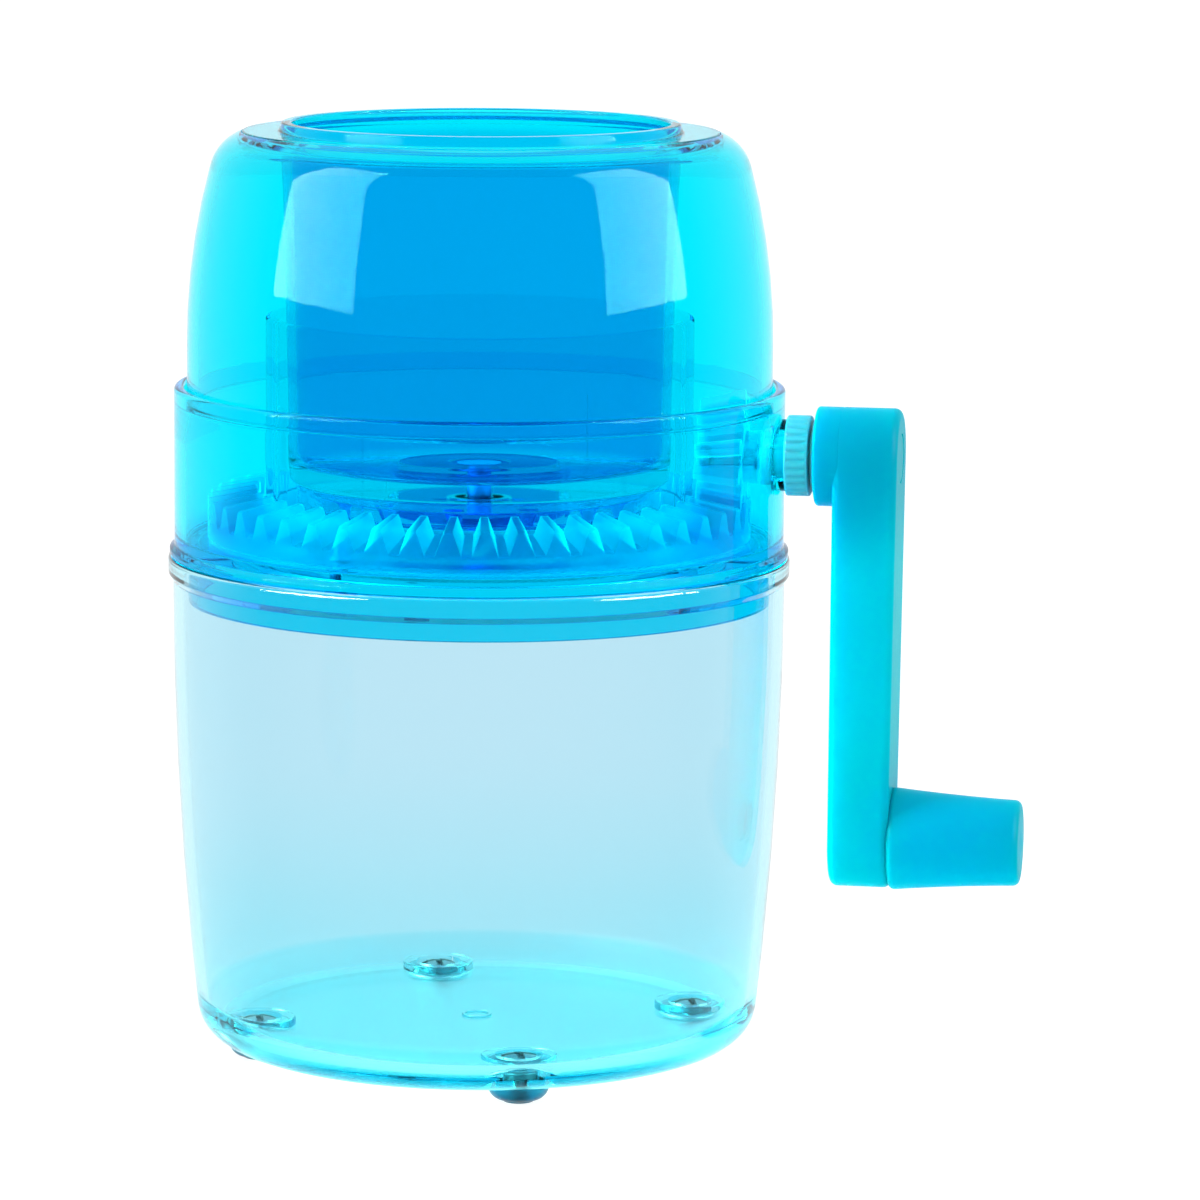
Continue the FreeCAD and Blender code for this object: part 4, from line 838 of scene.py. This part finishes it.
def makePress(p):
    # A plate with a hub and a rim below, and a ring of cones between them.
    plate = turned(outlineOf([
        (p["chamber"], p["hubLow"], 0.3), (p["hub"], p["hubLow"], 0.5), (p["hub"], p["low"], 0.5),
        (p["ringBore"], p["low"], 0.5), (p["ringBore"], p["ringLow"], 0.4), (p["radius"], p["ringLow"], 0.4),
        (p["radius"], p["top"], 0.4), (p["bore"], p["top"], 0.1), (p["bore"], p["chamberTop"]),
        (p["chamber"], p["chamberTop"])]))
    root = p["low"] + p["spikeRoot"]
    spike = lathe([(0, p["spikeLow"]), (p["spikeTip"], p["spikeLow"], 0.2), (p["spike"], root), (0, root)],
                  coarse)
    spikes = around(spike, p["spikeCount"], 0, (p["spikeRing"], 0, 0))
    piece("pressPlate", plate, "press", pressPlastic, ["press_plate"], add=[spikes])


makeLid(lid)
makeCup(cup)
makePress(press)
print("lid ready")


# The plain metal pieces keep their solids and get their finish

for finish, nodes in (
        (plateSteel, ["blade_plate", "blade"]), (steel, ["grip_washer"]),
        (darkSteel, ["plate_screws", "blade_screws", "gear_screws", "press_screw", "press_washer"])):
    for node in nodes:
        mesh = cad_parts[node].data
        mesh.materials.clear()
        mesh.materials.append(finish)


# Floor, light and camera

studio = {"floorSize": 14.0, "floorTint": (0.2, 0.203, 0.205, 1), "floorMottle": (0.195, 0.198, 0.2, 1),
          "floorScale": 3.0, "floorRough": 0.9, "floorGlow": (1.0, 1.0, 1.0, 1), "floorGlowLevel": 0.93,
          "sky": (0.99, 0.997, 1.0, 1), "backLight": 1.04, "frontLight": 0.12, "turnFrom": -0.2,
          "turnTo": 0.5, "rise": 12.0, "sun": 1.3, "sunHeight": 48.0, "sunSpread": 80.0}
softboxes = {"distance": 0.75, "spread": 67.0, "width": 0.5, "height": 0.87, "level": 0.63, "power": 60.0,
             "tint": (1.0, 1.0, 0.72)}
view = {"distance": 1205.0, "height": 286.5, "azimuth": 10.0, "pitch": 8.95, "roll": 0.28, "lens": 173.7,
        "shift": 0.101, "sensor": 36.0, "near": 0.05, "far": 50.0}


def makeFloor():
    size = studio["floorSize"] / 2
    mesh = bpy.data.meshes.new("floor")
    corners = [(-size, -size, 0), (size, -size, 0), (size, size, 0), (-size, size, 0)]
    mesh.from_pydata(corners, [], [(0, 1, 2, 3)])
    floor = bpy.data.objects.new("floor", mesh)
    bpy.context.scene.collection.objects.link(floor)
    paint = Paint("floor paint", bpy.data.materials)
    mottle = paint.noise(studio["floorScale"], 3.0)
    tint = paint.blend(mottle, studio["floorTint"], studio["floorMottle"])
    body = paint.node("ShaderNodeBsdfPrincipled", inputs={
        "Base Color": tint, "Roughness": studio["floorRough"], "Specular IOR Level": 0.0,
        "Emission Color": studio["floorGlow"], "Emission Strength": studio["floorGlowLevel"]})
    mesh.materials.append(paint.finish(body))
    floor.visible_glossy = False


def makeRoom():
    # The room is white, but what the surfaces mirror from in front of the object is dim.
    room = Paint("room", bpy.data.worlds, "Generated")
    turn, rise = math.radians(view["azimuth"]), math.radians(studio["rise"])
    back = (-math.sin(turn) * math.cos(rise), math.cos(turn) * math.cos(rise), math.sin(rise))
    share = room.ease(room.along(back), studio["turnFrom"], studio["turnTo"])
    through = room.node("ShaderNodeLightPath", out="Is Transmission Ray")
    share = share + (1 - share) * through
    level = share * (studio["backLight"] - studio["frontLight"]) + studio["frontLight"]
    bpy.context.scene.world = room.finish(room.node("ShaderNodeBackground", inputs={
        "Color": studio["sky"], "Strength": level}))


def makeLamps():
    # A broad sun from the camera's side, and two softboxes that only the surfaces mirror.
    turn = math.radians(view["azimuth"])
    lamp = bpy.data.lights.new("key", "SUN")
    lamp.energy, lamp.angle = studio["sun"], math.radians(studio["sunSpread"])
    key = bpy.data.objects.new("key", lamp)
    key.rotation_euler = (math.radians(90 - studio["sunHeight"]), 0, turn)
    key.visible_glossy = key.visible_transmission = False
    bpy.context.scene.collection.objects.link(key)
    for side in (-1, 1):
        turn = math.radians(view["azimuth"] + side * softboxes["spread"])
        lamp = bpy.data.lights.new("softbox", "AREA")
        lamp.shape, lamp.size, lamp.size_y = "RECTANGLE", softboxes["width"], softboxes["height"]
        lamp.energy, lamp.color = softboxes["power"], softboxes["tint"]
        box = bpy.data.objects.new("softbox", lamp)
        box.location = (softboxes["distance"] * math.sin(turn), -softboxes["distance"] * math.cos(turn),
                        softboxes["level"])
        box.rotation_euler = (math.pi / 2, 0, turn)
        box.visible_camera = box.visible_transmission = box.visible_diffuse = False
        bpy.context.scene.collection.objects.link(box)


def makeCamera(v):
    # The camera stands at azimuth and height, looks down by pitch and is tipped by roll.
    turn = math.radians(v["azimuth"])
    lens = bpy.data.cameras.new("camera")
    lens.sensor_width, lens.lens, lens.shift_x = v["sensor"], v["lens"], v["shift"]
    lens.clip_start, lens.clip_end = v["near"], v["far"]
    camera = bpy.data.objects.new("camera", lens)
    away = v["distance"] * mm
    camera.location = (away * math.sin(turn), -away * math.cos(turn), v["height"] * mm)
    aim = Matrix.Rotation(turn, 3, "Z") @ Matrix.Rotation(math.radians(90 - v["pitch"]), 3, "X")
    camera.rotation_euler = (aim @ Matrix.Rotation(math.radians(v["roll"]), 3, "Z")).to_euler()
    bpy.context.scene.collection.objects.link(camera)
    bpy.context.scene.camera = camera


makeFloor()
makeRoom()
makeLamps()
makeCamera(view)
scene = bpy.context.scene
scene.view_settings.view_transform = "Standard"
bounces = {"max_bounces": 32, "transmission_bounces": 32, "glossy_bounces": 16, "diffuse_bounces": 4,
           "transparent_max_bounces": 64, "volume_bounces": 0}
for name, count in bounces.items():
    setattr(scene.cycles, name, count)
scene.cycles.caustics_reflective = False
print("studio ready")
